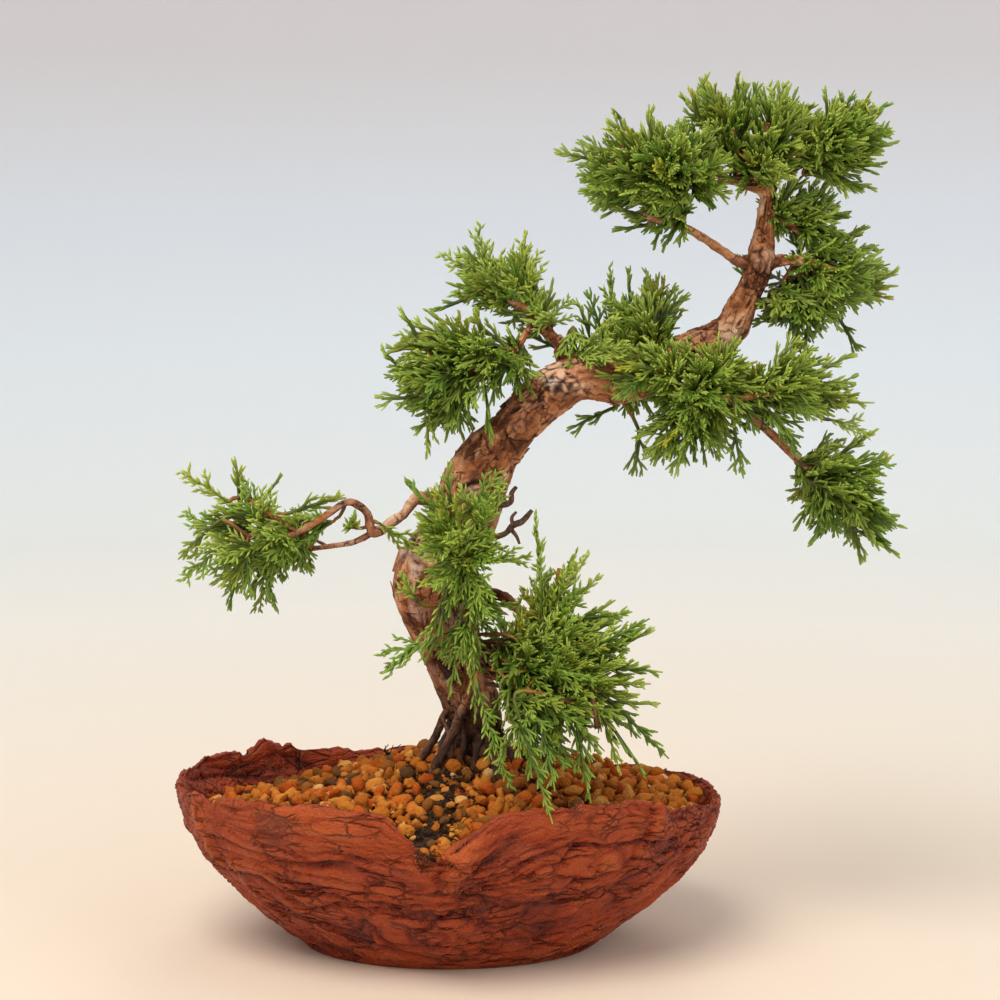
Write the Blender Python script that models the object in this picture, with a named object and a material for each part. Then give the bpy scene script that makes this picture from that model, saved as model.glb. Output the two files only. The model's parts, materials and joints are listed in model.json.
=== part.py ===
"""Juniper bonsai in an oval stoneware bowl: pot, soil, trunk, stems and foliage masses.

Sizes are in millimetres in the tables and turned into metres by MM. +Z is up and -Y is the front.
The origin is the centre of the pot's foot, on the surface that it stands on.
"""

import math

import bmesh
import bpy
from mathutils import Vector

MM = 0.001
GAP = 0.4  # left between pieces that touch

# Driving dimensions of the pot, in mm
RIM_HALF = (90.0, 68.0)
FOOT_HALF = (48.0, 34.0)
SIDE_HEIGHT = 49.0
FRONT_RISE = 12.0
LEFT_RISE = 5.5
NOTCH_DROP = 14.0
FOLD_RISE = 5.0
WALL = 5.0
FLOOR = 7.0
BELLY = 1.8  # how fast the wall opens out above the foot
DRAIN_RADIUS = 5.0
DRAIN_X = 22.0

# Driving dimensions of the soil
SOIL_LEVEL = 46.0
HEAP_CENTRE = (8.0, 12.0)
HEAP_HEIGHT = 15.0
HEAP_SPREAD = (40.0, 34.0)
SOIL_CLEAR = 1.2  # between the soil and the faceted inside of the bowl
PEAT_THICK = 2.5

AROUND = 44  # segments round the pot and the soil
TRUNK_SIDES = 10
STEM_SIDES = 6
PATH_STEP = 7.0

COLOURS = {
    "pot": ((0.17, 0.05, 0.025), 0.4),
    "soil": ((0.42, 0.17, 0.05), 0.95),
    "peat": ((0.03, 0.022, 0.018), 1.0),
    "bark": ((0.23, 0.11, 0.065), 0.8),
    "dead_wood": ((0.36, 0.25, 0.17), 0.8),
    "foliage": ((0.09, 0.22, 0.03), 0.6),
}

# Each route holds (x, y, z, radius) in mm, from the root end outwards.
TRUNK_ROUTE = [
    (7, 13, 46, 11.5),
    (7, 12, 59, 11.4),
    (8, 12, 71, 9.4),
    (3, 10, 89, 9.4),
    (-3, 8, 104, 10.7),
    (-6, 6, 118, 12.3),
    (0, 3, 132, 11.4),
    (6, 1, 143, 10.7),
    (11, 0, 157, 10.2),
    (20, -2, 169, 7.4),
    (30, -4, 180, 7.7),
    (42, -4, 187, 7.2),
    (56, -3, 186, 6.8),
    (67, 0, 190, 6.0),
    (78, 2, 196, 5.5),
    (90, 4, 201, 5.3),
    (96, 6, 211, 4.6),
    (101, 6, 224, 4.0),
    (102, 5, 236, 2.8),
    (103, 4, 246, 2.3),
    (103, 2, 257, 1.6),
    (102, 0, 268, 1.2),
]
ROOT_ROUTES = [
    [(7, 6, 82, 3.4), (1, 2, 69, 3.0), (-4, -2, 59, 2.4), (-10, -6, 51, 1.8)],
    [(11, 5, 76, 3.2), (13, -3, 65, 2.6), (17, -11, 56, 2.0), (20, -15, 50, 1.8)],
    [(12, 12, 66, 3.4), (22, 14, 57, 2.6), (29, 15, 50, 2.0)],
    [(5, 18, 68, 3.4), (-4, 27, 57, 2.6), (-9, 32, 50, 2.0)],
]
STEM_ROUTES = {
    "stem_low_left": [
        [(0, 3, 146, 2.4), (-11, 0, 147, 2.2), (-15, -2, 142, 2.0), (-24, -5, 137, 1.9),
         (-26, -6, 143, 1.6), (-29, -8, 146, 1.4), (-33, -9, 147, 1.3), (-41, -11, 142, 1.3),
         (-51, -13, 137, 1.1), (-64, -14, 137, 0.9)],
        [(-23, -5, 138, 1.4), (-29, -2, 134, 1.2), (-34, 2, 132, 1.1), (-49, 8, 129, 0.9)],
    ],
    "stem_mid_left": [
        [(40, -4, 185, 3.4), (37, -2, 193, 2.9), (36, 0, 197, 2.6), (32, 3, 201, 2.3),
         (25, 6, 208, 1.9), (20, 8, 211, 1.6), (10, 9, 216, 1.1)],
        [(32, 3, 201, 1.8), (27, 0, 203, 1.5), (22, -4, 197, 1.3), (14, -7, 193, 1.1), (3, -8, 187, 1.0)],
    ],
    "stem_back": [
        [(48, -3, 186, 2.8), (50, 14, 187, 2.3), (55, 28, 192, 1.9), (61, 36, 199, 1.4)],
    ],
    "stem_mid_right": [
        [(62, -2, 188, 2.8), (66, -9, 184, 2.0), (77, -18, 182, 1.6), (90, -22, 182, 1.3),
         (106, -20, 184, 1.0)],
    ],
    "stem_hanging_right": [
        [(78, 3, 195, 2.0), (81, -4, 190, 1.7), (88, -11, 184, 1.6), (96, -13, 176, 1.5),
         (104, -11, 169, 1.5), (112, -9, 161, 1.4), (119, -10, 154, 1.1), (126, -10, 146, 1.0)],
        [(115, -9, 158, 1.2), (121, -10, 161, 1.0), (131, -12, 160, 0.9)],
    ],
    "stem_right_upper": [
        [(96, 6, 209, 2.4), (102, 11, 210, 1.9), (112, 13, 212, 1.5), (125, 12, 217, 1.0)],
    ],
    "stem_crown_low_left": [
        [(101, 6, 223, 2.3), (94, 4, 224, 1.9), (87, 0, 228, 1.6), (81, -4, 232, 1.5), (75, -8, 235, 1.3),
         (62, -11, 239, 1.0)],
    ],
    "stem_crown_left": [
        [(102, 4, 246, 1.6), (97, 2, 248, 1.6), (90, 0, 250, 1.5), (80, -3, 253, 1.3), (55, -6, 254, 0.9)],
    ],
    "stem_crown_right": [
        [(101, 6, 222, 2.3), (107, 3, 224, 2.1), (115, 0, 224, 1.8), (124, -3, 221, 1.4),
         (133, -5, 219, 1.0)],
    ],
    "stem_crown_upper_right": [
        [(104, 3, 250, 1.4), (108, 3, 252, 1.4), (116, 3, 256, 1.2), (128, 3, 262, 1.0)],
    ],
    "stem_low_right": [
        [(5, 7, 114, 2.8), (17, 2, 115, 2.2), (23, -4, 111, 1.9), (30, -12, 108, 1.7), (37, -22, 101, 1.4),
         (45, -34, 91, 1.2), (47, -44, 81, 1.0)],
        [(30, -12, 108, 1.4), (34, -12, 116, 1.2), (36, -11, 126, 1.0)],
    ],
    "stem_trunk_front": [
        [(4, 2, 134, 1.7), (7, -13, 130, 1.4), (8, -14.5, 114, 1.3), (10, -13, 100, 1.2), (12, -11, 84, 1.1),
         (13, -11, 79, 1.0)],
    ],
}
STUB_ROUTES = {
    "dead_stub_upper": [(12, -2, 147, 1.6), (17, -6, 145, 1.3), (20, -7, 147, 1.1), (22, -7, 151, 0.8)],
    "dead_stub_lower": [(12, -2, 134, 1.6), (19, -7, 137, 1.3), (23, -8, 140, 1.3), (27, -8, 144, 0.8)],
}

# Each foliage mass is a union of ellipsoids, (x, y, z, half x, half y, half z) in mm.
FOLIAGE = {
    "foliage_crown_left": [(65, -6, 255, 27, 30, 18), (45, -8, 254, 12, 18, 9), (66, -10, 239, 13, 15, 10)],
    "foliage_crown_top": [(84, 2, 271, 13, 19, 13), (105, 2, 266, 13, 20, 17)],
    "foliage_crown_right": [(128, 3, 267, 15, 22, 13), (133, 2, 255, 9, 14, 9)],
    "foliage_right_upper": [(122, 12, 236, 14, 18, 11), (127, 8, 218, 17, 22, 15), (139, 6, 216, 8, 10, 8),
                            (114, 8, 210, 12, 16, 9)],
    "foliage_mid_left_upper": [(15, 10, 220, 16, 18, 13), (26, 8, 212, 8, 14, 11), (5, 12, 223, 8, 9, 7)],
    "foliage_mid_left_lower": [(-6, -8, 190, 16, 20, 17), (11, -10, 191, 17, 19, 12),
                               (-5, -6, 174, 12, 14, 9)],
    "foliage_mid_centre": [(61, 28, 205, 14, 22, 17), (49, 24, 199, 13, 18, 11), (66, 28, 184, 14, 18, 16)],
    "foliage_mid_right": [(84, -14, 181, 23, 24, 16), (110, -10, 185, 22, 24, 13),
                          (82, -14, 168, 14, 18, 12)],
    "foliage_hanging_right": [(129, -10, 150, 16, 19, 13), (132, -10, 140, 14, 16, 11),
                              (121, -10, 158, 8, 10, 8)],
    "foliage_low_left": [(-69, -8, 132, 19, 24, 14), (-67, -10, 147, 13, 16, 12), (-44, -8, 140, 17, 14, 7),
                         (-72, -8, 120, 10, 14, 8)],
    "foliage_trunk_front": [(4, -27, 143, 18, 10, 15), (1, -27, 120, 17, 10, 18), (9, -27, 100, 9, 9, 13)],
    "foliage_low_right": [(42, -21, 104, 25, 22, 18), (38, -12, 122, 8, 12, 17), (51, -34, 89, 16, 20, 15),
                          (37, -44, 84, 12, 17, 18), (33, -60, 73, 5, 9, 12)],
}


def clear_scene():
    for obj in list(bpy.data.objects):
        bpy.data.objects.remove(obj, do_unlink=True)


def material(name):
    """The Principled material of a colour name, made once."""
    found = bpy.data.materials.get(name)
    if found:
        return found
    colour, roughness = COLOURS[name]
    made = bpy.data.materials.new(name)
    made.use_nodes = True
    shader = made.node_tree.nodes["Principled BSDF"]
    shader.inputs["Base Color"].default_value = (*colour, 1.0)
    shader.inputs["Roughness"].default_value = roughness
    made.diffuse_color = (*colour, 1.0)
    return made


def make_object(name, bm, colour):
    """A linked object from a bmesh whose faces are turned outwards."""
    bmesh.ops.recalc_face_normals(bm, faces=bm.faces)
    mesh = bpy.data.meshes.new(name)
    bm.to_mesh(mesh)
    bm.free()
    mesh.materials.append(material(colour))
    obj = bpy.data.objects.new(name, mesh)
    bpy.context.scene.collection.objects.link(obj)
    return obj


def bake_modifiers(obj):
    """Keeps what the modifiers make and removes them."""
    graph = bpy.context.evaluated_depsgraph_get()
    mesh = bpy.data.meshes.new_from_object(obj.evaluated_get(graph))
    obj.modifiers.clear()
    obj.data = mesh


def combine(obj, others, operation):
    """Runs one Boolean on obj with each of the other objects, and removes them."""
    for other in others:
        step = obj.modifiers.new(operation.lower(), "BOOLEAN")
        step.operation = operation
        step.object = other
        bake_modifiers(obj)
        bpy.data.objects.remove(other, do_unlink=True)


def smooth_route(route):
    """Points about PATH_STEP apart on a Catmull-Rom curve through the route, radius included."""
    keys = [Vector(key) for key in route]
    keys = [2 * keys[0] - keys[1]] + keys + [2 * keys[-1] - keys[-2]]
    points = []
    for before, start, end, after in zip(keys, keys[1:], keys[2:], keys[3:]):
        steps = max(1, round((end - start).length / PATH_STEP))
        for step in range(steps):
            t = step / steps
            points.append(
                0.5 * (2 * start + (end - before) * t
                       + (2 * before - 5 * start + 4 * end - after) * t ** 2
                       + (3 * start - before - 3 * end + after) * t ** 3)
            )
    points.append(keys[-2])
    return points


def bridge_rings(bm, rings):
    """Joins rings of vertices one after the other and fills the two ends."""
    for low, high in zip(rings, rings[1:]):
        count = len(low)
        for i in range(count):
            j = (i + 1) % count
            bm.faces.new((low[i], low[j], high[j], high[i]))
    bm.faces.new(rings[0])
    bm.faces.new(rings[-1])


def tube(name, route, colour, sides):
    """A round tapered stem along a route."""
    bm = bmesh.new()
    points = smooth_route(route)
    places = [Vector(point[:3]) for point in points]
    side = (places[1] - places[0]).orthogonal().normalized()
    rings = []
    for i, (place, point) in enumerate(zip(places, points)):
        along = (places[min(i + 1, len(places) - 1)] - places[max(i - 1, 0)]).normalized()
        side = (side - along * side.dot(along)).normalized()
        across = along.cross(side)
        radius = point[3] * MM
        ring = []
        for k in range(sides):
            angle = 2 * math.pi * k / sides
            turn = side * math.cos(angle) + across * math.sin(angle)
            ring.append(bm.verts.new(place * MM + turn * radius))
        rings.append(ring)
    bridge_rings(bm, rings)
    return make_object(name, bm, colour)


def branched(name, routes, colour, sides):
    """One solid from a main route and the forks that start inside it."""
    obj = tube(name, routes[0], colour, sides)
    forks = [tube(name + "_fork", route, colour, STEM_SIDES) for route in routes[1:]]
    combine(obj, forks, "UNION")
    return obj


def grown_copy(obj):
    """A copy whose surface stands GAP outside the object's own."""
    copy = bpy.data.objects.new(obj.name + "_cutter", obj.data.copy())
    bpy.context.scene.collection.objects.link(copy)
    bm = bmesh.new()
    bm.from_mesh(copy.data)
    bm.normal_update()
    moves = [vert.normal * GAP * MM for vert in bm.verts]
    for vert, move in zip(bm.verts, moves):
        vert.co += move
    bm.to_mesh(copy.data)
    bm.free()
    return copy


def rim_height(angle):
    """Height of the rim: high front lobes with a notch between them, a folded back and a high left end."""
    x = RIM_HALF[0] * math.cos(angle)
    front = max(0.0, -math.sin(angle))
    back = max(0.0, math.sin(angle))
    height = SIDE_HEIGHT + FRONT_RISE * front ** 1.2
    height -= NOTCH_DROP * front * math.exp(-(((x + 2) / 13) ** 2))
    height += FOLD_RISE * back ** 0.5 * math.exp(-(((x + 58) / 28) ** 2))
    height += LEFT_RISE * (1 - 0.8 * front) * math.exp(-(((x + 92) / 26) ** 2))
    return height + 0.8 * math.sin(5 * angle)


def pot_point(angle, rise, inset, floor):
    """A point on the pot's wall, where rise runs from 0 at the foot to 1 at the rim."""
    opening = 1 - (1 - rise) ** BELLY
    half = [foot + (rim - foot) * opening - inset for foot, rim in zip(FOOT_HALF, RIM_HALF)]
    height = floor + rise * (rim_height(angle) - floor)
    return Vector((half[0] * math.cos(angle), half[1] * math.sin(angle), height))


def angles_round():
    return [2 * math.pi * i / AROUND for i in range(AROUND)]


def ring_of(bm, points):
    return [bm.verts.new(point * MM) for point in points]


def make_pot():
    """The bowl: one wall from the foot up over the rim and down to the inner floor, with two drain holes."""
    bm = bmesh.new()
    outer = [ring_of(bm, [pot_point(a, rise, 0, 0) for a in angles_round()])
             for rise in (0, 0.05, 0.15, 0.32, 0.55, 0.8, 1.0)]
    inner = [ring_of(bm, [pot_point(a, rise, WALL, FLOOR) for a in angles_round()])
             for rise in (0.99, 0.75, 0.45, 0.2, 0.0)]
    bridge_rings(bm, outer + inner)
    pot = make_object("pot", bm, "pot")
    combine(pot, [drain_cutter(x) for x in (-DRAIN_X, DRAIN_X)], "DIFFERENCE")
    return pot


def drain_cutter(x):
    bm = bmesh.new()
    rings = []
    for z in (-FLOOR, 2 * FLOOR):
        turns = [2 * math.pi * k / 16 for k in range(16)]
        centre = Vector((x, 0, z))
        points = [centre + DRAIN_RADIUS * Vector((math.cos(a), math.sin(a), 0)) for a in turns]
        rings.append(ring_of(bm, points))
    bridge_rings(bm, rings)
    return make_object("drain_cutter", bm, "pot")


def soil_height(x, y):
    """The heaped surface: highest at the trunk, low behind on the left and at the notch."""
    across, deep = (x - HEAP_CENTRE[0]) / HEAP_SPREAD[0], (y - HEAP_CENTRE[1]) / HEAP_SPREAD[1]
    heap = math.exp(-across ** 2 - deep ** 2)
    hollow = math.exp(-(((x + 58) / 28) ** 2) - ((y - 40) / 24) ** 2)
    notch = math.exp(-(((x + 2) / 16) ** 2) - ((y + 62) / 22) ** 2)
    return SOIL_LEVEL + HEAP_HEIGHT * heap - 5 * hollow - 4 * notch


def soil_edge(angle):
    """Where the soil's surface meets the inside of the wall."""
    low, high = 0.2, 0.98
    for _ in range(24):
        rise = (low + high) / 2
        point = pot_point(angle, rise, WALL + SOIL_CLEAR, FLOOR + SOIL_CLEAR)
        if point.z < soil_height(point.x, point.y):
            low = rise
        else:
            high = rise
    return rise


def make_soil(trunk):
    """The soil that fills the bowl up to its heaped surface, with the trunk's foot standing in it."""
    bm = bmesh.new()
    edges = [(a, soil_edge(a)) for a in angles_round()]
    inset, floor = WALL + SOIL_CLEAR, FLOOR + SOIL_CLEAR
    walls = [ring_of(bm, [pot_point(a, share * rise, inset, floor) for a, rise in edges])
             for share in (0, 0.35, 0.7, 1.0)]
    tops = []
    for share in (0.84, 0.66, 0.48, 0.3, 0.12):
        points = []
        for angle, rise in edges:
            edge = pot_point(angle, rise, WALL + SOIL_CLEAR, FLOOR + SOIL_CLEAR)
            spot = edge.lerp(Vector((*HEAP_CENTRE, 0)), 1 - share)
            points.append(Vector((spot.x, spot.y, soil_height(spot.x, spot.y))))
        tops.append(ring_of(bm, points))
    bridge_rings(bm, walls + tops)
    soil = make_object("soil", bm, "soil")
    combine(soil, [grown_copy(trunk)], "DIFFERENCE")
    return soil


def make_peat(trunk):
    """The dark band of peat and fine roots that runs from the trunk forward to the notch."""
    bm = bmesh.new()
    rings = []
    for along, half in ((4, 6), (-8, 9), (-20, 10), (-32, 9), (-44, 8), (-54, 6)):
        centre = -3 + 0.14 * (along + 20)
        ring = []
        for across, lift in ((-1, 0.8), (-0.5, 0.8), (0, 0.8), (0.5, 0.8), (1, 0.8),
                             (0.7, PEAT_THICK), (0, PEAT_THICK + 1), (-0.7, PEAT_THICK)):
            x = centre + across * half
            ring.append(Vector((x, along, soil_height(x, along) + lift)))
        rings.append(ring_of(bm, ring))
    bridge_rings(bm, rings)
    peat = make_object("peat_band", bm, "peat")
    combine(peat, [grown_copy(trunk)], "DIFFERENCE")
    return peat


def foliage_mass(name, balls, obstacles):
    """One closed mass of foliage, carved clear of the wood and of its neighbours."""
    bm = bmesh.new()
    for x, y, z, *half in balls:
        made = bmesh.ops.create_icosphere(bm, subdivisions=3, radius=MM)
        for vert in made["verts"]:
            vert.co = Vector(vert.co[i] * half[i] for i in range(3)) + Vector((x, y, z)) * MM
    mass = make_object(name, bm, "foliage")
    remesh = mass.modifiers.new("one_skin", "REMESH")
    remesh.mode = "VOXEL"
    remesh.voxel_size = 2.5 * MM
    bake_modifiers(mass)
    fewer = mass.modifiers.new("fewer", "DECIMATE")
    fewer.ratio = 240 / (2 * len(mass.data.polygons))
    bake_modifiers(mass)
    for obstacle in obstacles:
        if boxes_meet(mass, obstacle):
            combine(mass, [grown_copy(obstacle)], "DIFFERENCE")
    return mass


def boxes_meet(a, b):
    """Whether two objects' boxes come within the gap of each other."""
    spans = []
    for obj in (a, b):
        places = [vert.co for vert in obj.data.vertices]
        spans.append([(min(p[i] for p in places), max(p[i] for p in places)) for i in range(3)])
    return all(low[0] - GAP * MM < high[1] and high[0] - GAP * MM < low[1] for low, high in zip(*spans))


def shade_smooth():
    for obj in bpy.context.scene.objects:
        obj.data.shade_smooth()
        obj.data.set_sharp_from_angle(angle=math.radians(40))


def main():
    clear_scene()
    make_pot()
    trunk = branched("trunk", [TRUNK_ROUTE] + ROOT_ROUTES, "bark", TRUNK_SIDES)
    make_soil(trunk)
    make_peat(trunk)
    wood = [trunk]
    for name, routes in STEM_ROUTES.items():
        stem = branched(name, routes, "bark", STEM_SIDES)
        combine(stem, [grown_copy(trunk)], "DIFFERENCE")
        wood.append(stem)
    for name, route in STUB_ROUTES.items():
        stub = tube(name, route, "dead_wood", STEM_SIDES)
        combine(stub, [grown_copy(trunk)], "DIFFERENCE")
        wood.append(stub)
    masses = []
    for name, balls in FOLIAGE.items():
        masses.append(foliage_mass(name, balls, wood + masses))
    shade_smooth()


main()
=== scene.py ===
"""Looks of a juniper bonsai in an oval stoneware bowl: clay, bark, grit, peat and scale-leaved sprays.

Lengths in the tables are millimetres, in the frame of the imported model, and MM turns them into metres.
"""
import json
import math

import bmesh
import bpy
import numpy as np
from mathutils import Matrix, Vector

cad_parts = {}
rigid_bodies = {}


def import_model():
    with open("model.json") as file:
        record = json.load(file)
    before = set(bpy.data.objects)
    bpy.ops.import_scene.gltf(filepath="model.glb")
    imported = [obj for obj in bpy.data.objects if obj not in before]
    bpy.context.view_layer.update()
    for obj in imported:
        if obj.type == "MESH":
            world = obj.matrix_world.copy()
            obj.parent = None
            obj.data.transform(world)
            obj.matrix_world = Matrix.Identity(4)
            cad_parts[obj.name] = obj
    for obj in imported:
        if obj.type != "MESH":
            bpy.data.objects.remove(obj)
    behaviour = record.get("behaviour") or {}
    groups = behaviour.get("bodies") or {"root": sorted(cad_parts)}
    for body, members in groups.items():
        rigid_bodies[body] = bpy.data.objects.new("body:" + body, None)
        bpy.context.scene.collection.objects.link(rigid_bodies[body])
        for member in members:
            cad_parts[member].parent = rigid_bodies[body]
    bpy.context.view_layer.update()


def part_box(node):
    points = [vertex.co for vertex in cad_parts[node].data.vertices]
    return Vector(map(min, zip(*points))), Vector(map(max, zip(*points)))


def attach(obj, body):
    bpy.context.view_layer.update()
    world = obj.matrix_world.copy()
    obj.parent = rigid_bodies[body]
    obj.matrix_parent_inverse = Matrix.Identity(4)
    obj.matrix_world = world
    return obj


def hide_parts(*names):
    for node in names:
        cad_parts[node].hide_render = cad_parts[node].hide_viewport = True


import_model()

MM = 0.001
BODY = "root"

# ---------------------------------------------------------------- the object's own measures, in mm

POT_LOW, POT_HIGH = (np.array(corner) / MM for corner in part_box("pot"))
RIM_HALF = (POT_HIGH - POT_LOW)[:2] / 2
FOOT_HALF = np.array((48.0, 34.0))
SIDE_HEIGHT = 49.0
WALL = 5.0
FLOOR = 7.0
# How full the side is between the foot and the rim, 1 being a straight side
BELLY = 1.8
LEFT_RISE = 5.5
DRAIN_X = 22.0
DRAIN_RADIUS = 5.0
# The soil's level at the wall, and the heap of it at the trunk
SOIL_LEVEL = 46.0
HEAP_CENTRE = (8.0, 12.0)
HEAP_HEIGHT = 15.0
HEAP_SPREAD = (40.0, 34.0)
TRUNK_FOOT = (8, 12)
# Tears and folds in the rim, as (degrees round, width in radians, rise in mm)
RIM_TEARS = [(137, 0.04, 3.6), (144, 0.03, -1.6), (205, 0.04, 1.5), (214, 0.03, -2.6), (322, 0.05, -1.6)]
# Fills of grains: depth under the surface or, below zero, height over it; spacing; smallest and largest
# half size; lift; and seed
GRIT_FILLS = {
    "grit_packed": (0.8, 3.8, 2.1, 3.5, 1.0, 1),
    "grit_loose": (-0.8, 5.0, 1.7, 3.5, 1.6, 2),
    "grit_fine": (0.5, 2.6, 0.7, 1.4, 1.8, 3),
}
SPRAYS_IN_TUFT = 7
GOLDEN_TURN = 2.39996

# Routes of the wood, (x, y, z, radius), from the root end outwards
TRUNK_ROUTE = [
    (7, 13, 46, 12.5), (7, 12, 59, 11.4), (8, 12, 71, 9.4), (3, 10, 89, 9.4), (-3, 8, 104, 10.7),
    (-6, 6, 118, 12.3), (0, 3, 132, 11.4), (6, 1, 143, 10.7), (11, 0, 157, 10.2), (20, -2, 169, 7.4),
    (30, -4, 180, 7.7), (42, -4, 187, 7.2), (56, -3, 186, 6.8), (67, 0, 190, 6.0), (78, 2, 196, 5.5),
    (90, 4, 201, 5.3), (96, 6, 211, 4.6), (101, 6, 224, 4.0), (102, 5, 236, 2.8), (103, 4, 246, 2.3),
    (103, 2, 257, 1.6), (102, 0, 268, 0.9),
]
ROOT_ROUTES = [
    [(8, 3, 90, 1.2), (6, 1, 80, 1.6), (1, -1, 69, 1.6), (-4, -4, 60, 1.4), (-9, -8, 53, 1),
     (-13, -11, 49, 0.68)],
    [(12, 3, 84, 1.1), (12, 0, 76, 1.5), (14, -4, 65, 1.4), (16, -10, 57, 1.1), (20, -16, 50, 0.75)],
    [(14, 8, 78, 1.4), (17, 8, 66, 1.8), (22, 8, 58, 1.4), (29, 9, 50, 0.98)],
    [(5, 18, 78, 1.5), (2, 21, 68, 1.8), (-4, 27, 57, 1.5), (-9, 32, 50, 1)],
    [(2, 3, 80, 0.9), (5, -1, 68, 1), (3, -6, 59, 0.9), (6, -11, 52, 0.68)],
    [(-1, 6, 76, 1.2), (-6, 4, 65, 1.4), (-12, 3, 57, 1), (-18, 1, 50, 0.75)],
    [(15, 2, 74, 0.75), (10, -2, 66, 0.83), (8, -6, 59, 0.75), (11, -9, 54, 0.68)],
    [(-2, 3, 74, 0.68), (1, -3, 64, 0.75), (-2, -7, 58, 0.68), (-6, -9, 54, 0.6)],
    [(16, 6, 72, 0.83), (20, 2, 62, 0.9), (24, -3, 55, 0.75), (28, -5, 50, 0.6)],
]
STEM_ROUTES = {
    "stem_low_left": [
        [(0, 3, 146, 2.9), (-8, 1, 147, 2.1), (-11, 0, 147, 1.8), (-15, -2, 142, 1.7), (-24, -5, 137, 1.6),
         (-26, -6, 143, 1.3), (-29, -8, 146, 1.2), (-33, -9, 147, 1.1), (-41, -11, 142, 1.1),
         (-51, -13, 137, 0.92), (-64, -14, 137, 0.76)],
        [(-23, -5, 138, 1.2), (-29, -2, 134, 1), (-34, 2, 132, 0.92), (-49, 8, 129, 0.76)],
        [(-48, -12, 138, 0.76), (-57, -14, 144, 0.76), (-66, -12, 150, 0.59)],
    ],
    "stem_mid_left": [
        [(40, -4, 185, 3.5), (37, -2, 193, 2.5), (36, 0, 197, 2.2), (32, 3, 201, 1.9), (25, 6, 208, 1.6),
         (20, 8, 211, 1.3), (10, 9, 216, 0.92)],
        [(32, 3, 201, 1.5), (27, 0, 203, 1.3), (22, -4, 197, 1.1), (14, -7, 193, 0.92), (3, -8, 187, 0.84)],
    ],
    "stem_back": [[(48, -3, 186, 2.9), (50, 14, 187, 1.9), (55, 28, 192, 1.6), (61, 36, 199, 1.2)]],
    "stem_mid_right": [
        [(62, -2, 188, 2.9), (66, -9, 184, 1.7), (77, -18, 182, 1.3), (90, -22, 182, 1.1),
         (106, -20, 184, 0.84)],
    ],
    "stem_hanging_right": [
        [(78, 3, 195, 2.4), (81, -4, 190, 1.5), (88, -11, 184, 1.3), (96, -13, 176, 1.3),
         (104, -11, 169, 1.3), (112, -9, 161, 1.2), (119, -10, 154, 0.92), (126, -10, 146, 0.84)],
        [(115, -9, 158, 1), (121, -10, 161, 0.84), (131, -12, 160, 0.76)],
    ],
    "stem_right_upper": [[(96, 6, 209, 2.5), (102, 11, 210, 1.6), (112, 13, 212, 1.3), (125, 12, 217, 0.84)]],
    "stem_crown_low_left": [
        [(101, 6, 223, 2.7), (94, 4, 224, 1.7), (87, 0, 228, 1.4), (81, -4, 232, 1.3), (75, -8, 235, 1.2),
         (62, -11, 239, 0.84)],
    ],
    "stem_crown_left": [
        [(102, 4, 246, 2), (97, 2, 248, 1.4), (90, 0, 250, 1.3), (80, -3, 253, 1.1), (55, -6, 254, 0.76)],
        [(93, 1, 249, 0.84), (93, -1, 256, 0.76), (91, -2, 266, 0.59)],
    ],
    "stem_crown_right": [
        [(101, 6, 222, 2.7), (107, 3, 224, 1.8), (115, 0, 224, 1.5), (124, -3, 221, 1.2),
         (133, -5, 219, 0.84)],
    ],
    "stem_crown_upper_right": [
        [(103, 3, 250, 1.5), (108, 3, 252, 1.3), (116, 3, 256, 1.1), (128, 3, 262, 0.84)],
        [(103, 4, 240, 1.3), (106, 4, 239, 1.2), (110, 6, 236, 1.1), (116, 8, 233, 1), (125, 9, 235, 0.76)],
    ],
    "stem_low_right": [
        [(5, 7, 114, 3.4), (17, 2, 115, 1.9), (23, -4, 111, 1.6), (30, -12, 108, 1.4), (37, -22, 101, 1.2),
         (45, -34, 91, 1), (47, -44, 81, 0.84)],
        [(30, -12, 108, 1.2), (34, -12, 116, 1), (36, -11, 126, 0.84)],
    ],
    "stem_trunk_front": [
        [(4, 2, 134, 2), (7, -13, 130, 1.3), (8, -14.5, 114, 1.2), (10, -13, 100, 1.1), (12, -11, 84, 1),
         (13, -11, 79, 0.92)],
        [(7, -13, 130, 1), (5, -18, 136, 0.84), (2, -20, 146, 0.76)],
    ],
    "dead_stub_upper": [
        [(12, -2, 147, 1.3), (17, -6, 146, 1.1), (20, -7, 147, 1.0), (20.5, -7, 150, 0.8),
         (22, -7, 152, 0.6)],
        [(19, -7, 146.5, 0.7), (17.5, -8, 149, 0.6), (18, -8, 152, 0.4)],
    ],
    "dead_stub_lower": [
        [(12, -2, 134, 1.3), (18, -7, 136.5, 0.9), (21, -7.5, 139.5, 1.1), (24, -8, 141, 1.1),
         (27, -8, 144.5, 0.6)],
        [(20, -7.5, 138.5, 0.8), (22, -8, 136, 0.6), (23, -8, 133.5, 0.4)],
        [(21, -7.5, 139, 0.7), (20.5, -8, 142, 0.6), (22, -8, 144, 0.4)],
    ],
}

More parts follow.
